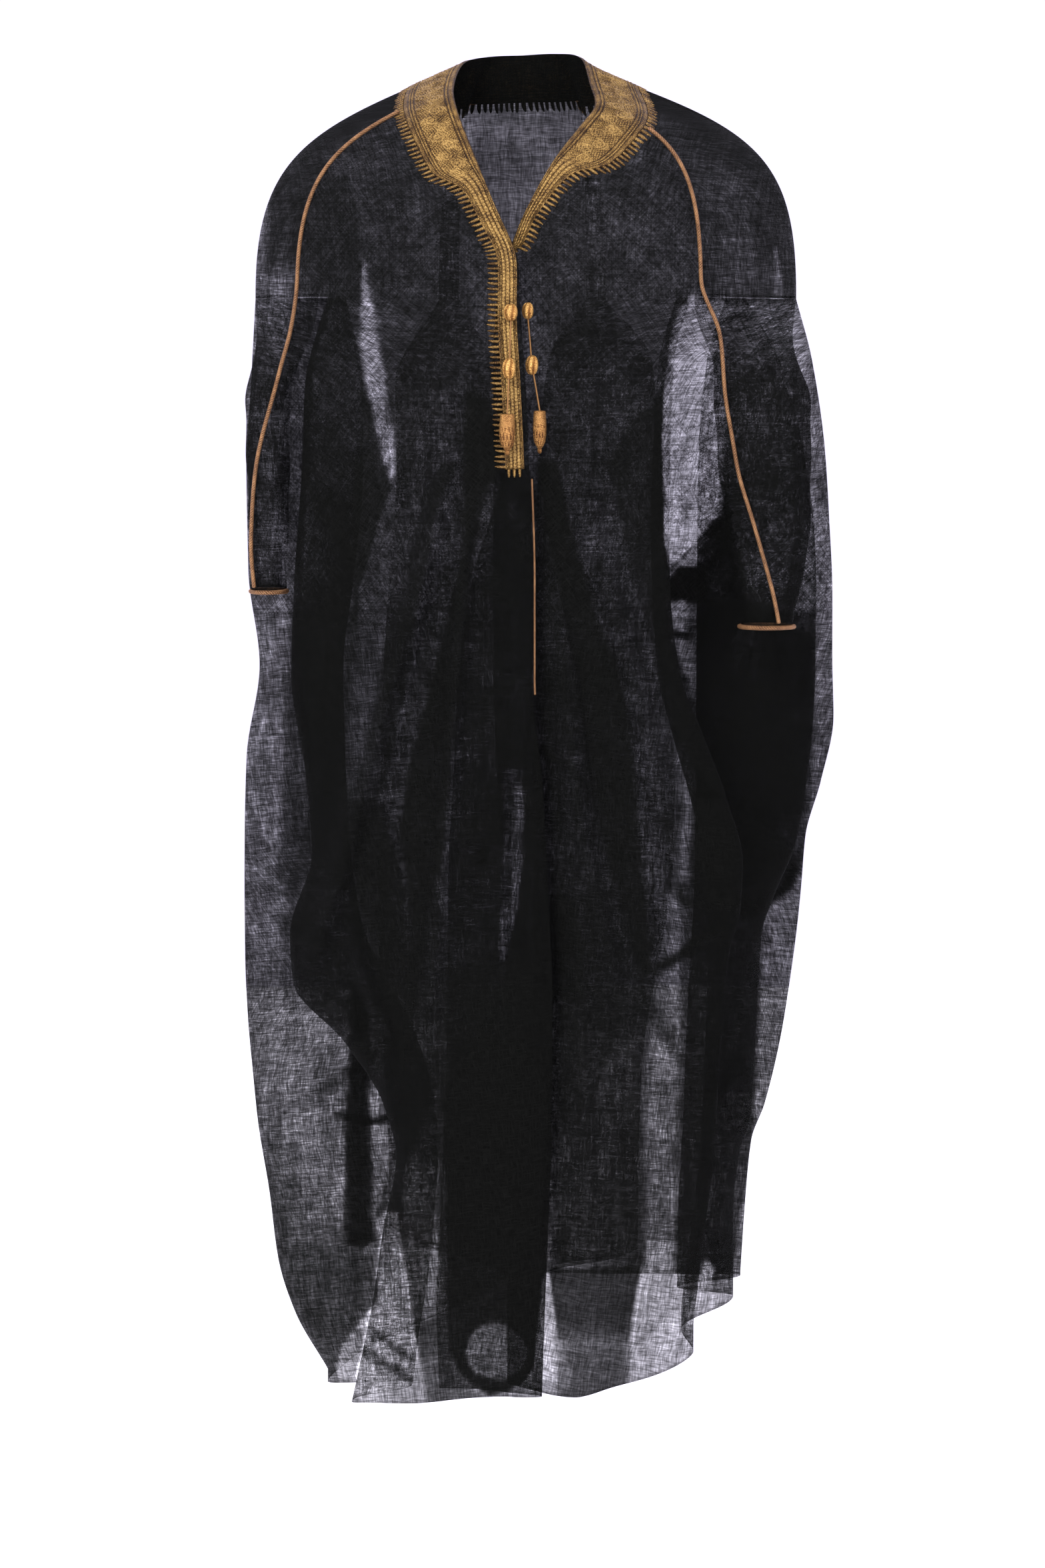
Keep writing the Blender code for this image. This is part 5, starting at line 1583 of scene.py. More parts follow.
@dataclass
class Sleeve:
    """A short sleeve: a tube from the foot of the yoke to its cuff."""

    drape: Drape
    rows: int = 90
    outer: int = 72
    inner: int = 56
    outer_arc: Pair = (-140.0, 50.0)        # degrees that the outer wall spans at the cuff
    lap: float = 0.003               # how far the sleeve runs up behind the yoke's foot
    wrinkle: float = 0.0012
    outer_cover: float = 0.7         # layers that the outer wall gains below the yoke's foot
    inner_cover: float = 0.25
    hem_cover: float = 1.6

    @property
    def foot(self) -> float:
        """Height of the cuff."""
        return SLEEVE_RINGS[self.drape.hand].rows[-1][0]

    def ring(self, height: float) -> np.ndarray:
        """Section of the sleeve: its outer wall from front to back, then its inner wall.

        Args:
            height: Height of the section.

        Returns:
            Points round the sleeve.
        """
        table, sign = SLEEVE_RINGS[self.drape.hand], self.drape.hand.sign
        level = np.array([height])
        in_x, out_x, front, back = (table.read(k, level)[0] for k in table.names[1:])
        blend = float(smooth((YOKE_FOOT - height) / SLEEVE_BLEND))
        first, last = SLEEVE_ARC[self.drape.hand]
        high = self.drape.arc_points(first + (last - first) * np.linspace(0, 1, self.outer + 1))
        part = (np.arange(1, self.inner) / self.inner)[:, None]
        high = np.concatenate((high, high[-1] + (high[0] - high[-1]) * part))
        start, end = self.outer_arc
        angle = np.radians(np.concatenate((np.linspace(start, end, self.outer + 1),
                                           end + (360.0 + start - end) * part[:, 0])))
        low = np.stack((sign * ((in_x + out_x) / 2 + (out_x - in_x) / 2 * np.cos(angle)),
                        (front + back) / 2 + (back - front) / 2 * np.sin(angle),
                        np.full(len(angle), height)), axis=-1)
        ring = high + (low - high) * blend
        ring[:, 2] = height
        return ring

    def build(self) -> bpy.types.Object:
        """Build the sleeve's sheet.

        Returns:
            The sheet.
        """
        heights = np.linspace(YOKE_FOOT + self.lap, self.foot, self.rows + 1)
        rings = np.stack([self.ring(h) for h in heights])
        middle = rings.mean(axis=1, keepdims=True)
        outward = rings - middle
        outward[..., 2] = 0.0
        outward /= np.maximum(np.linalg.norm(outward, axis=2, keepdims=True), 1e-6)
        fall = smooth((YOKE_FOOT - heights) / 0.10)[:, None]
        around = np.linspace(0.0, 2 * np.pi, rings.shape[1], endpoint=False)[None, :]
        level = heights[:, None]
        wrinkle = np.sin(level * 95.0 + 2.0 * np.sin(around + 1.0)) * np.sin(around * 2.0 + 0.6)
        rings = rings - outward * (self.wrinkle * fall * (1.0 + wrinkle))[..., None]
        across = run_across(np.concatenate((rings, rings[:, :1]), axis=1))[:, :-1]
        cover = self.outer_cover * (fall - 1.0) + np.zeros(rings.shape[:2])
        cover[:, self.outer:] = self.inner_cover * fall - 0.85
        cover[-1:] = self.hem_cover
        grid = Grid(rings, across, level + np.zeros_like(around) - YOKE_FOOT, cover, closed=True,
                    flip=self.drape.flip)
        return grid_mesh(f"sheer_sleeve_{self.drape.hand.value}", [grid])


# ---- embroidery, braid and ties ----------------------------------------------------------------
class Surface:
    """The finished cloth as a surface to sew on."""

    def __init__(self, pieces: Iterable[bpy.types.Object]) -> None:
        """Gather the pieces into one search tree.

        Args:
            pieces: Sheets of cloth.
        """
        points, faces = [], []
        for piece in pieces:
            base = len(points)
            points += [v.co.copy() for v in piece.data.vertices]
            faces += [[base + i for i in face.vertices] for face in piece.data.polygons]
        self.tree = BVHTree.FromPolygons(points, faces)

    def on_cloth(self, point: Vector) -> Spot:
        """Nearest point of the cloth and its face's direction away from the wearer.

        Args:
            point: The place to start from.

        Returns:
            The point and its direction.
        """
        near, normal, _, _ = self.tree.find_nearest(point)
        if normal.dot(near - CORE) < 0.0:
            normal = -normal
        return near, normal

    def march(self, start: Vector, heading: Vector, distance: float) -> list[Spot]:
        """Points on the cloth, with their outward directions, along a straight course.

        Args:
            start: Where the course begins.
            heading: Which way it sets out.
            distance: How far it goes.

        Returns:
            Evenly spaced points with their directions.
        """
        hops = max(2, math.ceil(distance / MARCH_STEP))
        near, normal = self.on_cloth(start)
        course = heading.normalized()
        spots = [(near, normal)]
        for _ in range(hops):
            near, normal = self.on_cloth(near + course * (distance / hops))
            course = (course - normal * course.dot(normal)).normalized()
            spots.append((near, normal))
        return spots


@dataclass(frozen=True)
class BandSide:
    """One side's share of the embroidered band."""

    drape: Drape
    widths: Table


BAND_SIDES = (
    BandSide(RIGHT_DRAPE, sizes(
        "run band", (0, 52), (120, 56), (225, 52), (256, 48), (268, 40), (282, 27), (300, 23), (360, 20),
        (560, 20))),
    BandSide(LEFT_DRAPE, sizes(
        "run band", (0, 52), (120, 58), (215, 56), (240, 51), (252, 42), (266, 28), (290, 19), (330, 12))),
)


@dataclass
class Courses:
    """Lines laid across the band, as grids of places and of outward directions."""

    places: np.ndarray
    facing: np.ndarray
    widths: np.ndarray
    runs: np.ndarray

    def at(self, run: np.ndarray, across: np.ndarray, lift: np.ndarray) -> np.ndarray:
        """World points on the band.

        Args:
            run: Distances along the band.
            across: Distances across it from the neckline.
            lift: Heights off the cloth.

        Returns:
            Points shaped as run, with a last axis x, y, z.
        """
        rows, columns = self.places.shape[:2]
        i = np.interp(run, self.runs, np.arange(rows))
        reach = np.interp(run, self.runs, self.widths) + TOOTH_LENGTH
        j = np.clip(across / reach, 0.0, 1.0) * (columns - 1)
        i0 = np.clip(i.astype(int), 0, rows - 2)
        j0 = np.clip(j.astype(int), 0, columns - 2)
        s, t = (i - i0)[..., None], (j - j0)[..., None]

        def blend(grid: np.ndarray) -> np.ndarray:
            """Value of a grid between its four nearest corners.

            Args:
                grid: Values by row and column.

            Returns:
                Values between them.
            """
            near = grid[i0, j0] * (1 - t) + grid[i0, j0 + 1] * t
            far = grid[i0 + 1, j0] * (1 - t) + grid[i0 + 1, j0 + 1] * t
            return near * (1 - s) + far * s

        out = blend(self.facing)
        out /= np.linalg.norm(out, axis=-1, keepdims=True)
        return blend(self.places) + out * lift[..., None]


# Threads laid along the band: the middle and half width of each, in shares of the band's width.
STRIPS = ((0.057, 0.050), (0.940, 0.046))
CORDS = ((0.137, 0.024), (0.812, 0.024), (0.868, 0.020))
PANEL = (0.170, 0.782)             # borders of the middle panel


@dataclass
class Neckband(Hanger):
    """The zari band round the neck and down the placket, with its stitched teeth."""

    surface: Surface
    zari: Zari = Zari()
    pitch: float = 0.0010            # length of a cell along the band
    cells: int = 72                  # cells across the band
    base: float = 0.0016             # height of the band's ground off the cloth
    relief: float = 0.0015           # height of the tallest thread above the ground
    scroll: float = 0.024            # length of one scroll of the middle panel
    tooth_pitch: float = 0.0053
    tooth_half: float = 0.0018       # half the thickness of a tooth
    tooth_rise: float = 0.0021
    foot_teeth: tuple[float, ...] = (0.24, 0.52, 0.80)      # shares of the width at the foot
    foot_length: float = 0.0085
    underlap: float = -0.245         # how far down the left band runs below the right one
    cord_twist: float = 0.0026
    strip_stitch: float = 0.0019
    coil_pitch: float = 0.0034       # from one turn of a scroll to the next
    coil_radius: float = 0.0080
    petal_pitch: Pair = (0.0031, 0.0027)
    chain_stitch: float = 0.0036
    course_pitch: float = 0.0031     # from one marched course to the next
    course_columns: int = 25

    def edge_line(self, drape: Drape) -> list[Vector]:
        """The neckline of one side, from the centre back, and the placket's edge below it.

        Args:
            drape: The side.

        Returns:
            Points close together.
        """
        line = [drape.neck_point(1.0 - i / 60) for i in range(61)]
        right = drape.hand is Hand.RIGHT
        feet, shares = drape.yoke_feet()
        drops = np.arange(1, 6 if right else 8) / 8
        line += [Vector(p) for p in drape.yoke_points(feet[:1], shares[:1], drops)[:, 0]]
        if right:
            column = drape.column("edge") + FINE_COLUMNS
            heights = YOKE_FOOT + (PLACKET_FOOT - YOKE_FOOT) * np.arange(2, 25) / 24
        else:
            column = 0
            heights = np.linspace(YOKE_FOOT - 0.004, self.underlap, 6)
        line += [drape.point_at(column, h) for h in heights]
        return eased(line, 6)

    def courses(self, side: BandSide) -> list[tuple[list[Spot], float]]:
        """Marched courses across one side's band, with their widths.

        Args:
            side: The side.

        Returns:
            Each course with its width, from the centre back on.
        """
        drape = side.drape
        line = self.edge_line(drape)
        runs = np.cumsum([0.0] + [(b - a).length for a, b in zip(line, line[1:])])
        count = round(runs[-1] / self.course_pitch)
        found = []
        for run in np.linspace(0.0, runs[-1], count + 1):
            k = min(max(int(np.searchsorted(runs, run, side="right")) - 1, 0), len(runs) - 2)
            point = line[k].lerp(line[k + 1], (run - runs[k]) / (runs[k + 1] - runs[k]))
            ahead = line[min(k + 4, len(line) - 1)] - line[max(k - 3, 0)]
            _, normal = self.surface.on_cloth(point)
            width = float(side.widths.read("band", np.array([run]))[0])
            heading = ahead.cross(normal) * -drape.hand.sign
            found.append((self.surface.march(point, heading, width + TOOTH_LENGTH), width))
        return found

    def lay_out(self) -> Courses:
        """Courses of the whole band, from the placket's foot round the neck to the left front.

        Returns:
            The courses.
        """
        right, left = (self.courses(side) for side in BAND_SIDES)
        every = list(reversed(right)) + left[1:]
        columns = np.linspace(0.0, 1.0, self.course_columns)
        places, facing = [], []
        for spots, _ in every:
            share = np.linspace(0.0, 1.0, len(spots))
            for target, which in ((places, 0), (facing, 1)):
                rows = np.array([spot[which] for spot in spots])
                target.append(np.stack([np.interp(columns, share, rows[:, k])
                                        for k in range(3)], axis=-1))
        places, facing = np.array(places), np.array(facing)
        for grid in (places, facing):
            for _ in range(3):
                grid[1:-1] = (grid[:-2] + 2 * grid[1:-1] + grid[2:]) / 4
        steps = np.linalg.norm(np.diff(places[:, 6], axis=0), axis=1)
        runs = np.concatenate(([0.0], np.cumsum(steps)))
        return Courses(places, facing, np.array([width for _, width in every]), runs)

    def motif(self, run: np.ndarray, across: np.ndarray, width: np.ndarray) -> np.ndarray:
        """Relief of the thread work, from 0 in a groove to 1 on a crest.

        Args:
            run: Distances along the band.
            across: Distances across it.
            width: The band's width there.

        Returns:
            Relief at each place.
        """
        t = across / width
        wide = smooth((width - 0.030) / 0.012)
        run = run + 0.0004 * np.sin(across * 700.0 + run * 150.0)

        def rib(centre: float, half: float) -> np.ndarray:
            """Rounded ridge along the band, its middle and half width in shares of the width."""
            return np.sqrt(np.clip(1.0 - ((t - centre) / half) ** 2, 0.0, 1.0))

        twist = 0.70 + 0.30 * np.sin(2 * np.pi * (run / self.cord_twist + t * 6.0))
        strips = 0.66 * np.maximum.reduce([rib(*strip) for strip in STRIPS])
        strips = strips * (0.80 + 0.20 * np.sin(2 * np.pi * run / self.strip_stitch))
        cords = np.maximum.reduce([rib(*cord) for cord in CORDS]) * twist
        return np.maximum(np.maximum(strips, cords), self.panel(run, across, t, wide))

    def panel(self, run: np.ndarray, across: np.ndarray, t: np.ndarray,
              wide: np.ndarray) -> np.ndarray:
        """Scrolls and leaves of the middle panel, or couched chains where the band is narrow.

        Args:
            run: Distances along the band.
            across: Distances across it.
            t: Shares of its width.
            wide: 1 where the band is wide enough for scrolls, or else 0.

        Returns:
            Relief at each place.
        """
        low, high = PANEL
        local = (t - low) / (high - low)
        inside = smooth(local / 0.04) * smooth((1.0 - local) / 0.04)
        u = run / self.scroll
        turn = np.floor(u * 2.0)
        side = np.where(turn % 2 < 1, 1.0, -1.0)
        x = (u * 2.0 - turn - 0.5) * self.scroll / 2.0
        y = (local - 0.5 - 0.12 * side) * 0.034
        radius, angle = np.hypot(x, y), np.arctan2(y * side, x)
        coil = np.cos(2 * np.pi * (radius / self.coil_pitch) - angle)
        coil = np.where(radius < self.coil_radius, 0.5 + 0.5 * coil, 0.0)
        stem = np.exp(-((local - 0.5 - 0.42 * np.sin(2 * np.pi * u)) / 0.045) ** 2)
        first, second = self.petal_pitch
        petals = np.sin(np.pi * (run + across * 0.7) / first) * np.sin(
            np.pi * (run * 0.6 - across) / second + 1.7 * np.sin(run * 260.0))
        field = np.maximum(coil, np.maximum(stem, 0.95 * np.sqrt(np.abs(petals))))
        chain = np.abs(np.sin(np.pi * (run / self.chain_stitch + np.floor(local * 3.0) * 0.37)))
        ribs = np.abs(np.sin(np.pi * (local * 3.0)))
        narrow = np.sqrt(ribs) * (0.45 + 0.55 * chain)
        return inside * (field * wide + narrow * (1.0 - wide))

    def build(self) -> list[bpy.types.Object]:
        """Build the band and its teeth.

        Returns:
            Both pieces.
        """
        courses = self.lay_out()
        material = self.zari.material()
        total = courses.runs[-1]
        run = np.linspace(0.0, total, round(total / self.pitch) + 1)[:, None]
        share = np.linspace(0.0, 1.0, self.cells + 1)[None, :]
        run, share = np.broadcast_arrays(run, share)
        width = np.interp(run, courses.runs, courses.widths)
        across = share * width
        level = self.motif(run, across, width)
        border = smooth(share / 0.018) * smooth((1.0 - share) / 0.018)
        ends = smooth(run / 0.0014) * smooth((total - run) / 0.0014)
        lift = STANDOFF + border * ends * (self.base - STANDOFF + self.relief * level)
        # the relief level, carried as cover, paints shade in the grooves and at the band's border and
        # highlights on the crests
        grid = Grid(courses.at(run, across, lift), run, across, level * border)
        band = grid_mesh("zari_neckband", [grid])
        band.data.materials.append(material)
        self.hang(band, "neckband", "neckband")
        teeth = grid_mesh("zari_teeth", self.teeth(courses, total))
        teeth.data.materials.append(material)
        self.hang(teeth, "neckband")
        return [band, teeth]

    def teeth(self, courses: Courses, total: float) -> list[Grid]:
        """Satin-stitched leaves side by side along the outer edge, and three at the foot.

        Args:
            courses: Courses of the band.
            total: Its length.

        Returns:
            A grid for each tooth.
        """
        count = round(total / self.tooth_pitch)
        step = total / count
        along = np.linspace(0.0, 1.0, 13)[:, None]
        side = np.linspace(-1.0, 1.0, 9)[None, :]
        half = self.tooth_half * np.sqrt(np.clip(1.0 - (np.maximum(along - 0.2, 0.0) / 0.8) ** 2,
                                                 0.0, 1.0))
        bulge = np.sqrt(np.clip(1.0 - side ** 2, 0.0, 1.0)) * np.ones_like(along)
        # painted shade: each tooth is darker at its sides and towards its tip, lighter along its middle
        level = 0.05 + 0.62 * bulge * (1.0 - 0.35 * along)
        lift = STANDOFF + self.tooth_rise * bulge * (1.0 - 0.5 * along)
        grids = []
        for i in range(count):
            sway = (0.0009 + 0.0008 * math.sin(i * 2.4)) * along ** 2
            length = TOOTH_LENGTH * (0.94 + 0.06 * math.sin(i * 1.7))
            run = (i + 0.5) * step + half * side + sway
            width = np.interp(run, courses.runs, courses.widths)
            across = width - 0.0006 + along * length * np.ones_like(side)
            grids.append(Grid(courses.at(run, across, lift), run, across, level))
        probe = 0.004               # how far up the band its course is read
        for share in self.foot_teeth:
            across = share * courses.widths[0] + half * side
            base = courses.at(np.zeros_like(across), across, lift)
            above = courses.at(np.full_like(across, probe), across, lift)
            down = (base - above) / probe
            points = base + down * (along * self.foot_length)[..., None]
            run = along * self.foot_length * np.ones_like(side)
            grids.append(Grid(points, across, run, level))
        return grids


@dataclass(frozen=True)
class Rope:
    """Make of a rope: its strands are raised round it."""

    radius: float          # over the strands
    strands: int
    twist: float           # length of one full turn of a strand
    depth: float           # depth of the grooves between strands, as a share of the radius
    sides: int             # points round it


BRAID = Rope(0.0022, 4, 0.0110, 0.20, 14)
EDGE_ROPE = Rope(0.0011, 3, 0.0066, 0.28, 10)


def tube_mesh(name: str, line: Sequence[Vector], rope: Rope,
              closed: bool = False) -> bpy.types.Object:
    """A rope along a line.

    Args:
        name: The object's name.
        line: Points close together along the rope's middle.
        rope: The rope's make.
        closed: Whether it runs back into itself.

    Returns:
        The rope.
    """
    points = np.array(line)
    ahead = np.roll(points, -1, axis=0) - np.roll(points, 1, axis=0)
    if not closed:
        ahead[0], ahead[-1] = points[1] - points[0], points[-1] - points[-2]
    ahead /= np.linalg.norm(ahead, axis=1, keepdims=True)
    frames = []
    side = Vector(ahead[0]).orthogonal().normalized()
    for way in ahead:
        way = Vector(way)
        side = (side - way * side.dot(way)).normalized()
        frames.append((side, way.cross(side)))
    frames = np.array(frames)
    steps = np.linalg.norm(np.diff(points, axis=0), axis=1)
    run = np.concatenate(([0.0], np.cumsum(steps)))[:, None]
    angle = np.linspace(0.0, 2 * np.pi, rope.sides, endpoint=False)[None, :]
    phase = rope.strands * angle / 2 - np.pi * rope.strands * run / rope.twist
    crest = np.abs(np.cos(phase))
    reach = rope.radius * (1.0 - rope.depth + rope.depth * crest)
    if not closed:
        reach[0] = reach[-1] = 0.0
    round_it = (frames[:, None, 0] * np.cos(angle)[..., None]
                + frames[:, None, 1] * np.sin(angle)[..., None])
    ring = points[:, None] + round_it * reach[..., None]
    if closed:
        run = np.concatenate((run, run[-1:] + steps[:1, None]))
        ring, crest = (np.concatenate((grid, grid[:1])) for grid in (ring, crest))
    across = angle * rope.radius + np.zeros_like(run)
    # painted shade in the grooves between the strands and painted highlight on their crests, from the
    # crest share
    return grid_mesh(name, [Grid(ring, across, run + np.zeros_like(angle), crest, closed=True)])


@dataclass
class Braid(Hanger):
    """Copper-gold braid over the shoulder seams and round the cuffs."""

    surface: Surface
    finish: Zari
    rope: Rope = BRAID
    shoulder_runs: int = 560
    cuff_runs: int = 420
    routes: dict[Hand, Table] = field(default_factory=lambda: {
        Hand.RIGHT: sizes(
            "height out", (-240, 235.5), (-290, 251.5), (-320, 260), (-352, 267.5), (-384, 273.5),
            (-430, 277.5), (-470, 279), (-508, 276)),
        Hand.LEFT: sizes(
            "height out", (-225, 198), (-260, 204), (-318, 211), (-358, 218), (-389, 223), (-436, 237),
            (-468, 246), (-517, 259), (-544, 264))})
    start: dict[Hand, float] = field(default_factory=lambda: {Hand.RIGHT: 0.060, Hand.LEFT: 0.064})

    def build(self) -> list[bpy.types.Object]:
        """Build the braid of both sides.

        Returns:
            The four lengths of braid.
        """
        material = self.finish.material()
        pieces = []
        for side in BAND_SIDES:
            name = side.drape.hand.value
            lines = {"shoulder": self.shoulder_line(side.drape), "cuff": self.cuff_line(side.drape)}
            for place, line in lines.items():
                piece = tube_mesh(f"braid_{place}_{name}", line, self.rope, place == "cuff")
                piece.data.materials.append(material)
                node = f"{place}_piping_{name}"
                pieces.append(self.hang(piece, node, node))
        return pieces

    def cuff_line(self, drape: Drape) -> list[Vector]:
        """Middle line of the braid round a cuff.

        Args:
            drape: The half that the sleeve belongs to.

        Returns:
            Points close together.
        """
        sleeve = Sleeve(drape)
        ring = sleeve.ring(sleeve.foot)
        ring[:, 2] -= self.rope.radius + STANDOFF
        closed = [Vector(p) for p in ring]
        return evened(closed + closed[:1], self.cuff_runs)[:-1]

    def shoulder_line(self, drape: Drape) -> list[Vector]:
        """Middle line of the braid from the neckband over the shoulder to the cuff.

        Args:
            drape: The half that the seam belongs to.

        Returns:
            Points close together.
        """
        feet, shares = drape.yoke_feet()
        k = drape.parting
        drops = np.linspace(0.0, 1.0, 81)
        seam = drape.yoke_points(feet[k:k + 1], shares[k:k + 1], drops)[:, 0]
        lift = self.rope.radius + 0.0010
        neck = drape.neck_point(float(shares[k]))
        line = []
        for point in map(Vector, seam):
            if (point - neck).length > self.start[drape.hand]:
                near, normal = self.surface.on_cloth(point)
                line.append(near + normal * lift)
        sleeve = Sleeve(drape)
        table = self.routes[drape.hand]
        top, low = table.rows[0][0], sleeve.foot + self.rope.radius
        for height in np.linspace(top, low, 61)[1:]:
            out = float(table.read("out", np.array([height]))[0])
            spot, outward = self.sleeve_spot(sleeve, height, out)
            line.append(spot + outward * lift)
        return evened(eased(line, 8), self.shoulder_runs)

    def sleeve_spot(self, sleeve: Sleeve, height: float, out: float) -> Spot:
        """Point and outward direction on the front of a sleeve at a height and distance out.

        Args:
            sleeve: The sleeve.
            height: The height.
            out: The distance out.

        Returns:
            The point and its direction.
        """
        sign = sleeve.drape.hand.sign
        front = [Vector(p) for p in sleeve.ring(height)[:sleeve.outer + 1]]
        for a, b in zip(front, front[1:]):
            near, far = a.x * sign, b.x * sign
            if near <= out <= far:
                run = b - a
                outward = Vector((run.y, -run.x, 0.0)) * sign
                return a.lerp(b, (out - near) / (far - near)), outward.normalized()
        widest = max(front, key=lambda p: p.x * sign)
        return widest, Vector((sign, -1.0, 0.0)).normalized()


def middle_of(node: str) -> tuple[Vector, Vector]:
    """Middle and size of a solid."""
    low, high = (Vector(corner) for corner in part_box(node))
    return (low + high) / 2, high - low


# A tassel's barrel, netted body and tip: shares of its radius and of half its height.
TASSEL = ((0.00, 1.00), (0.80, 0.985), (0.90, 0.93), (0.93, 0.70), (0.98, 0.40), (1.00, 0.15),
          (0.98, -0.15), (0.86, -0.42), (0.58, -0.62), (0.34, -0.72), (0.24, -0.76),
          (0.32, -0.82), (0.28, -0.94), (0.00, -1.00))
BALL = tuple((math.sin(math.pi * k / 24) ** 0.85, math.cos(math.pi * k / 24)) for k in range(25))
# Outline, bundles of thread, depth of the grooves between them, and whether a net covers it.
WOUND = {"knot": (BALL, 5, 0.24, False), "bead": (BALL, 5, 0.24, False),
         "tassel": (TASSEL, 12, 0.12, True)}


def wound(node: str, outline: Sequence[Pair], lobes: int, groove: float,
          net: bool) -> bpy.types.Object:
    """A thread-wound body, turned about an upright axis in place of its solid.

    Args:
        node: The solid.
        outline: Shares of its radius and of half its height, from top to bottom.
        lobes: Bundles of thread round it.
        groove: Depth of the grooves between them, as a share of the radius.
        net: Whether crossing threads cover it in place of upright ones.

    Returns:
        The body.
    """
    rows, columns = 56, 48
    centre, size = middle_of(node)
    spots = np.array(outline) * (max(size.x, size.y) / 2, size.z / 2)
    share = np.linspace(0.0, 1.0, len(spots))
    level = np.linspace(0.0, 1.0, rows + 1)
    radius = np.interp(level, share, spots[:, 0])[:, None]
    height = np.interp(level, share, spots[:, 1])[:, None]
    level = level[:, None]
    angle = np.linspace(0.0, 2 * np.pi, columns, endpoint=False)[None, :]
    phase = angle * lobes / 2
    crest = np.abs(np.cos(phase + 1.1 * np.sin(3.0 * level) + level))
    if net:
        slant, net_top = level * 14.0, 0.30
        crossing = np.abs(np.cos(phase + slant)) * np.abs(np.cos(phase - slant))
        lower = smooth((level - net_top) / 0.05)
        crest = 0.85 * (1.0 - lower) + (1.0 - crossing) * lower
    reach = radius * (1.0 - groove + groove * crest)
    points = np.stack((reach * np.cos(angle), reach * np.sin(angle),
                       height + np.zeros_like(angle)), axis=-1) + np.array(centre)
    # painted shade in the grooves between the bundles and in the net's hollows, painted highlight on their
    # crests
    grid = Grid(points, angle * radius.max() + np.zeros_like(radius),
                height + np.zeros_like(angle), 0.25 + 0.75 * crest, closed=True)
    return grid_mesh(f"wound_{node}", [grid])


@dataclass
class Ties(Hanger):
    """Two hanging strings, each with a knot, a bead and a tassel, and the cord of the edge."""

    surface: Surface
    finish: Zari
    string_radius: float = 0.0009
    rope: Rope = EDGE_ROPE
    edge_runs: int = 420
    string_runs: int = 24

    def build(self) -> list[bpy.types.Object]:
        """Build both ties and the edge cord.

        Returns:
            All their pieces.
        """
        finishes = {"rope": COPPER, "tassel": TASSEL_NET, "string": STRING_GOLD}
        made = {kind: finish.material() for kind, finish in finishes.items()}
        made["wound"] = self.finish.material()
        pieces = [self.edge_cord()]
        for hand in Hand:
            pieces += self.tie(hand)
        for piece in pieces:
            kind = "tassel" if "tassel" in piece.name else piece.name.split("_")[0]
            piece.data.materials.append(made["string" if kind == "tie" else kind])
        return pieces

    def edge_cord(self) -> bpy.types.Object:
        """The rope sewn along the right front's folded edge below the placket.

        Returns:
            The rope.
        """
        low, high = (Vector(corner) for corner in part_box("front_edge_cord"))
        drape = RIGHT_DRAPE
        lift = 0.0013 + self.rope.radius         # clear of the folded edge
        line = [drape.point_at(drape.column("edge"), h) + Vector((lift, 0.0, 0.0))
                for h in np.linspace(high.z, low.z, 41)]
        rope = tube_mesh("rope_front_edge", evened(line, self.edge_runs), self.rope)
        return self.hang(rope, "front_edge_cord", "front_edge_cord")

    def tie(self, hand: Hand) -> list[bpy.types.Object]:
        """One string with what hangs on it.

        Args:
            hand: The side.

        Returns:
            Its knot, bead, tassel and string.
        """
        name = hand.value
        nodes = [f"{kind}_{name}" for kind in WOUND]
        knot, bead, tassel = (self.hang(wound(node, *make), node, node)
                              for node, make in zip(nodes, WOUND.values()))
        (top, high), (mid, _), (end, low) = map(middle_of, nodes)
        start = top - Vector((0.0, 0.0, high.z / 2))
        stop = end + Vector((0.0, 0.0, low.z / 2))
        line = evened([start, start.lerp(mid, 0.5), mid, mid.lerp(stop, 0.5), stop],
                      self.string_runs)
        curve = bpy.data.curves.new(f"string_{name}", "CURVE")
        curve.dimensions = "3D"
        curve.bevel_depth = 1.0
        curve.bevel_resolution = 3
        curve.use_fill_caps = True
        spline = curve.splines.new("POLY")
        spline.points.add(len(line) - 1)
        for spot, point in zip(spline.points, line):
            spot.co = (*point, 1.0)
            spot.radius = self.string_radius
        string = linked(f"tie_string_{name}", curve)
        stretches = (f"string_{name}_bead", f"string_{name}_tassel")
        self.hang(string, stretches[0], *stretches)
        return [knot, bead, tassel, string]


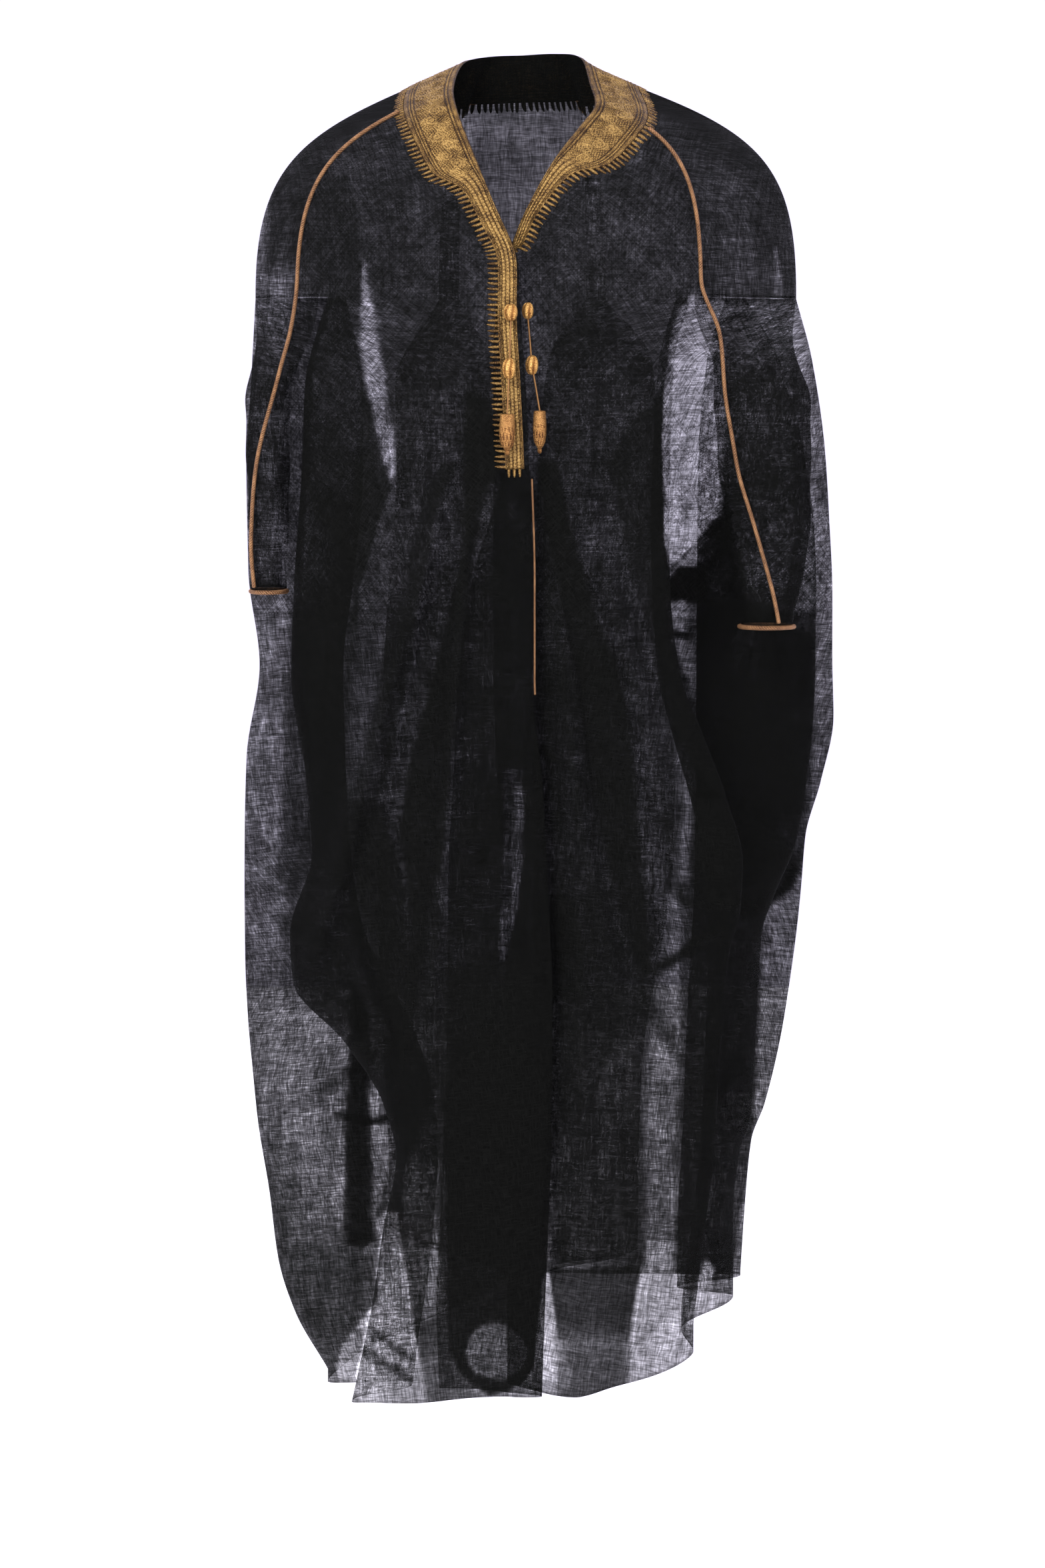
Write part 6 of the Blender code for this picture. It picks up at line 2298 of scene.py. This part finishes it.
# ---- the stage ---------------------------------------------------------------------------------
@dataclass
class Studio:
    """Pale floor, soft lights and the camera."""

    floor_height: float = -1.55
    floor_reach: float = 3.6
    camera_place: tuple[float, float, float] = (0.0, -3.9, -0.28)
    pitch: float = 83.5
    sensor: float = 36.0
    lens: float = 5515.0 / 2352.0 * 36.0
    sky_colour: Colour = (1.005, 0.958, 1.19)
    sky_strength: float = 1.05
    aim: tuple[float, float, float] = (0.0, 0.0, -0.5)
    lamps: tuple[tuple[str, tuple[float, float, float], float, float], ...] = (
        ("key", (-1.3, -2.4, 1.6), 1.2, 110.0), ("fill", (2.0, -2.2, 0.4), 1.6, 25.0))

    def build(self) -> None:
        """Set up the camera, floor, sky and lamps."""
        scene = bpy.context.scene
        scene.view_settings.view_transform = "Standard"
        data = bpy.data.cameras.new("camera")
        data.sensor_fit = "VERTICAL"
        data.sensor_height = self.sensor
        data.lens = self.lens
        camera = linked("camera", data)
        camera.location = self.camera_place
        camera.rotation_euler = (math.radians(self.pitch), 0.0, 0.0)
        scene.camera = camera
        self.floor()
        self.sky()
        for lamp in self.lamps:
            self.hang_lamp(*lamp)
        LOG.info("studio ready")

    def floor(self) -> None:
        """Lay a wide pale floor."""
        around = np.linspace(0.0, 2 * np.pi, 97)[:-1]
        reach = self.floor_reach
        points = [(reach * math.cos(a), reach * math.sin(a), self.floor_height) for a in around]
        mesh = bpy.data.meshes.new("floor")
        mesh.from_pydata(points, [], [list(range(len(points)))])
        floor = linked("floor", mesh)
        n = Nodes("floor")
        n.constants(Base_Color=(0.90, 0.89, 0.91, 1.0), Roughness=0.7,
                    Emission_Color=(1.0, 1.0, 1.0, 1.0), Emission_Strength=0.35)
        mesh.materials.append(n.material)

    def sky(self) -> None:
        """Wrap the studio in an even, faintly cool white."""
        world = bpy.data.worlds.new("studio")
        world.use_nodes = True
        back = world.node_tree.nodes["Background"]
        back.inputs["Color"].default_value = (*self.sky_colour, 1.0)
        back.inputs["Strength"].default_value = self.sky_strength
        bpy.context.scene.world = world

    def hang_lamp(self, name: str, place: tuple[float, float, float], size: float,
                  power: float) -> None:
        """Hang a soft square lamp that faces the cloak.

        Args:
            name: The lamp's name.
            place: Where it hangs.
            size: Its side.
            power: Its power in watts.
        """
        data = bpy.data.lights.new(name, "AREA")
        data.size = size
        data.energy = power
        lamp = linked(name, data)
        lamp.location = place
        aim = Vector(self.aim) - Vector(place)
        lamp.rotation_euler = aim.to_track_quat("-Z", "Y").to_euler()


def main() -> None:
    """Load the frame, then build the studio and the cloak."""
    logging.basicConfig(level=logging.INFO, format="%(message)s")
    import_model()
    Studio().build()
    sheets = Cloth().build()
    surface = Surface(piece for piece in sheets if "sleeve" not in piece.name)
    Neckband(surface).build()
    Braid(surface, COPPER).build()
    Ties(surface, ORANGE_GOLD).build()


if __name__ == "__main__":
    main()
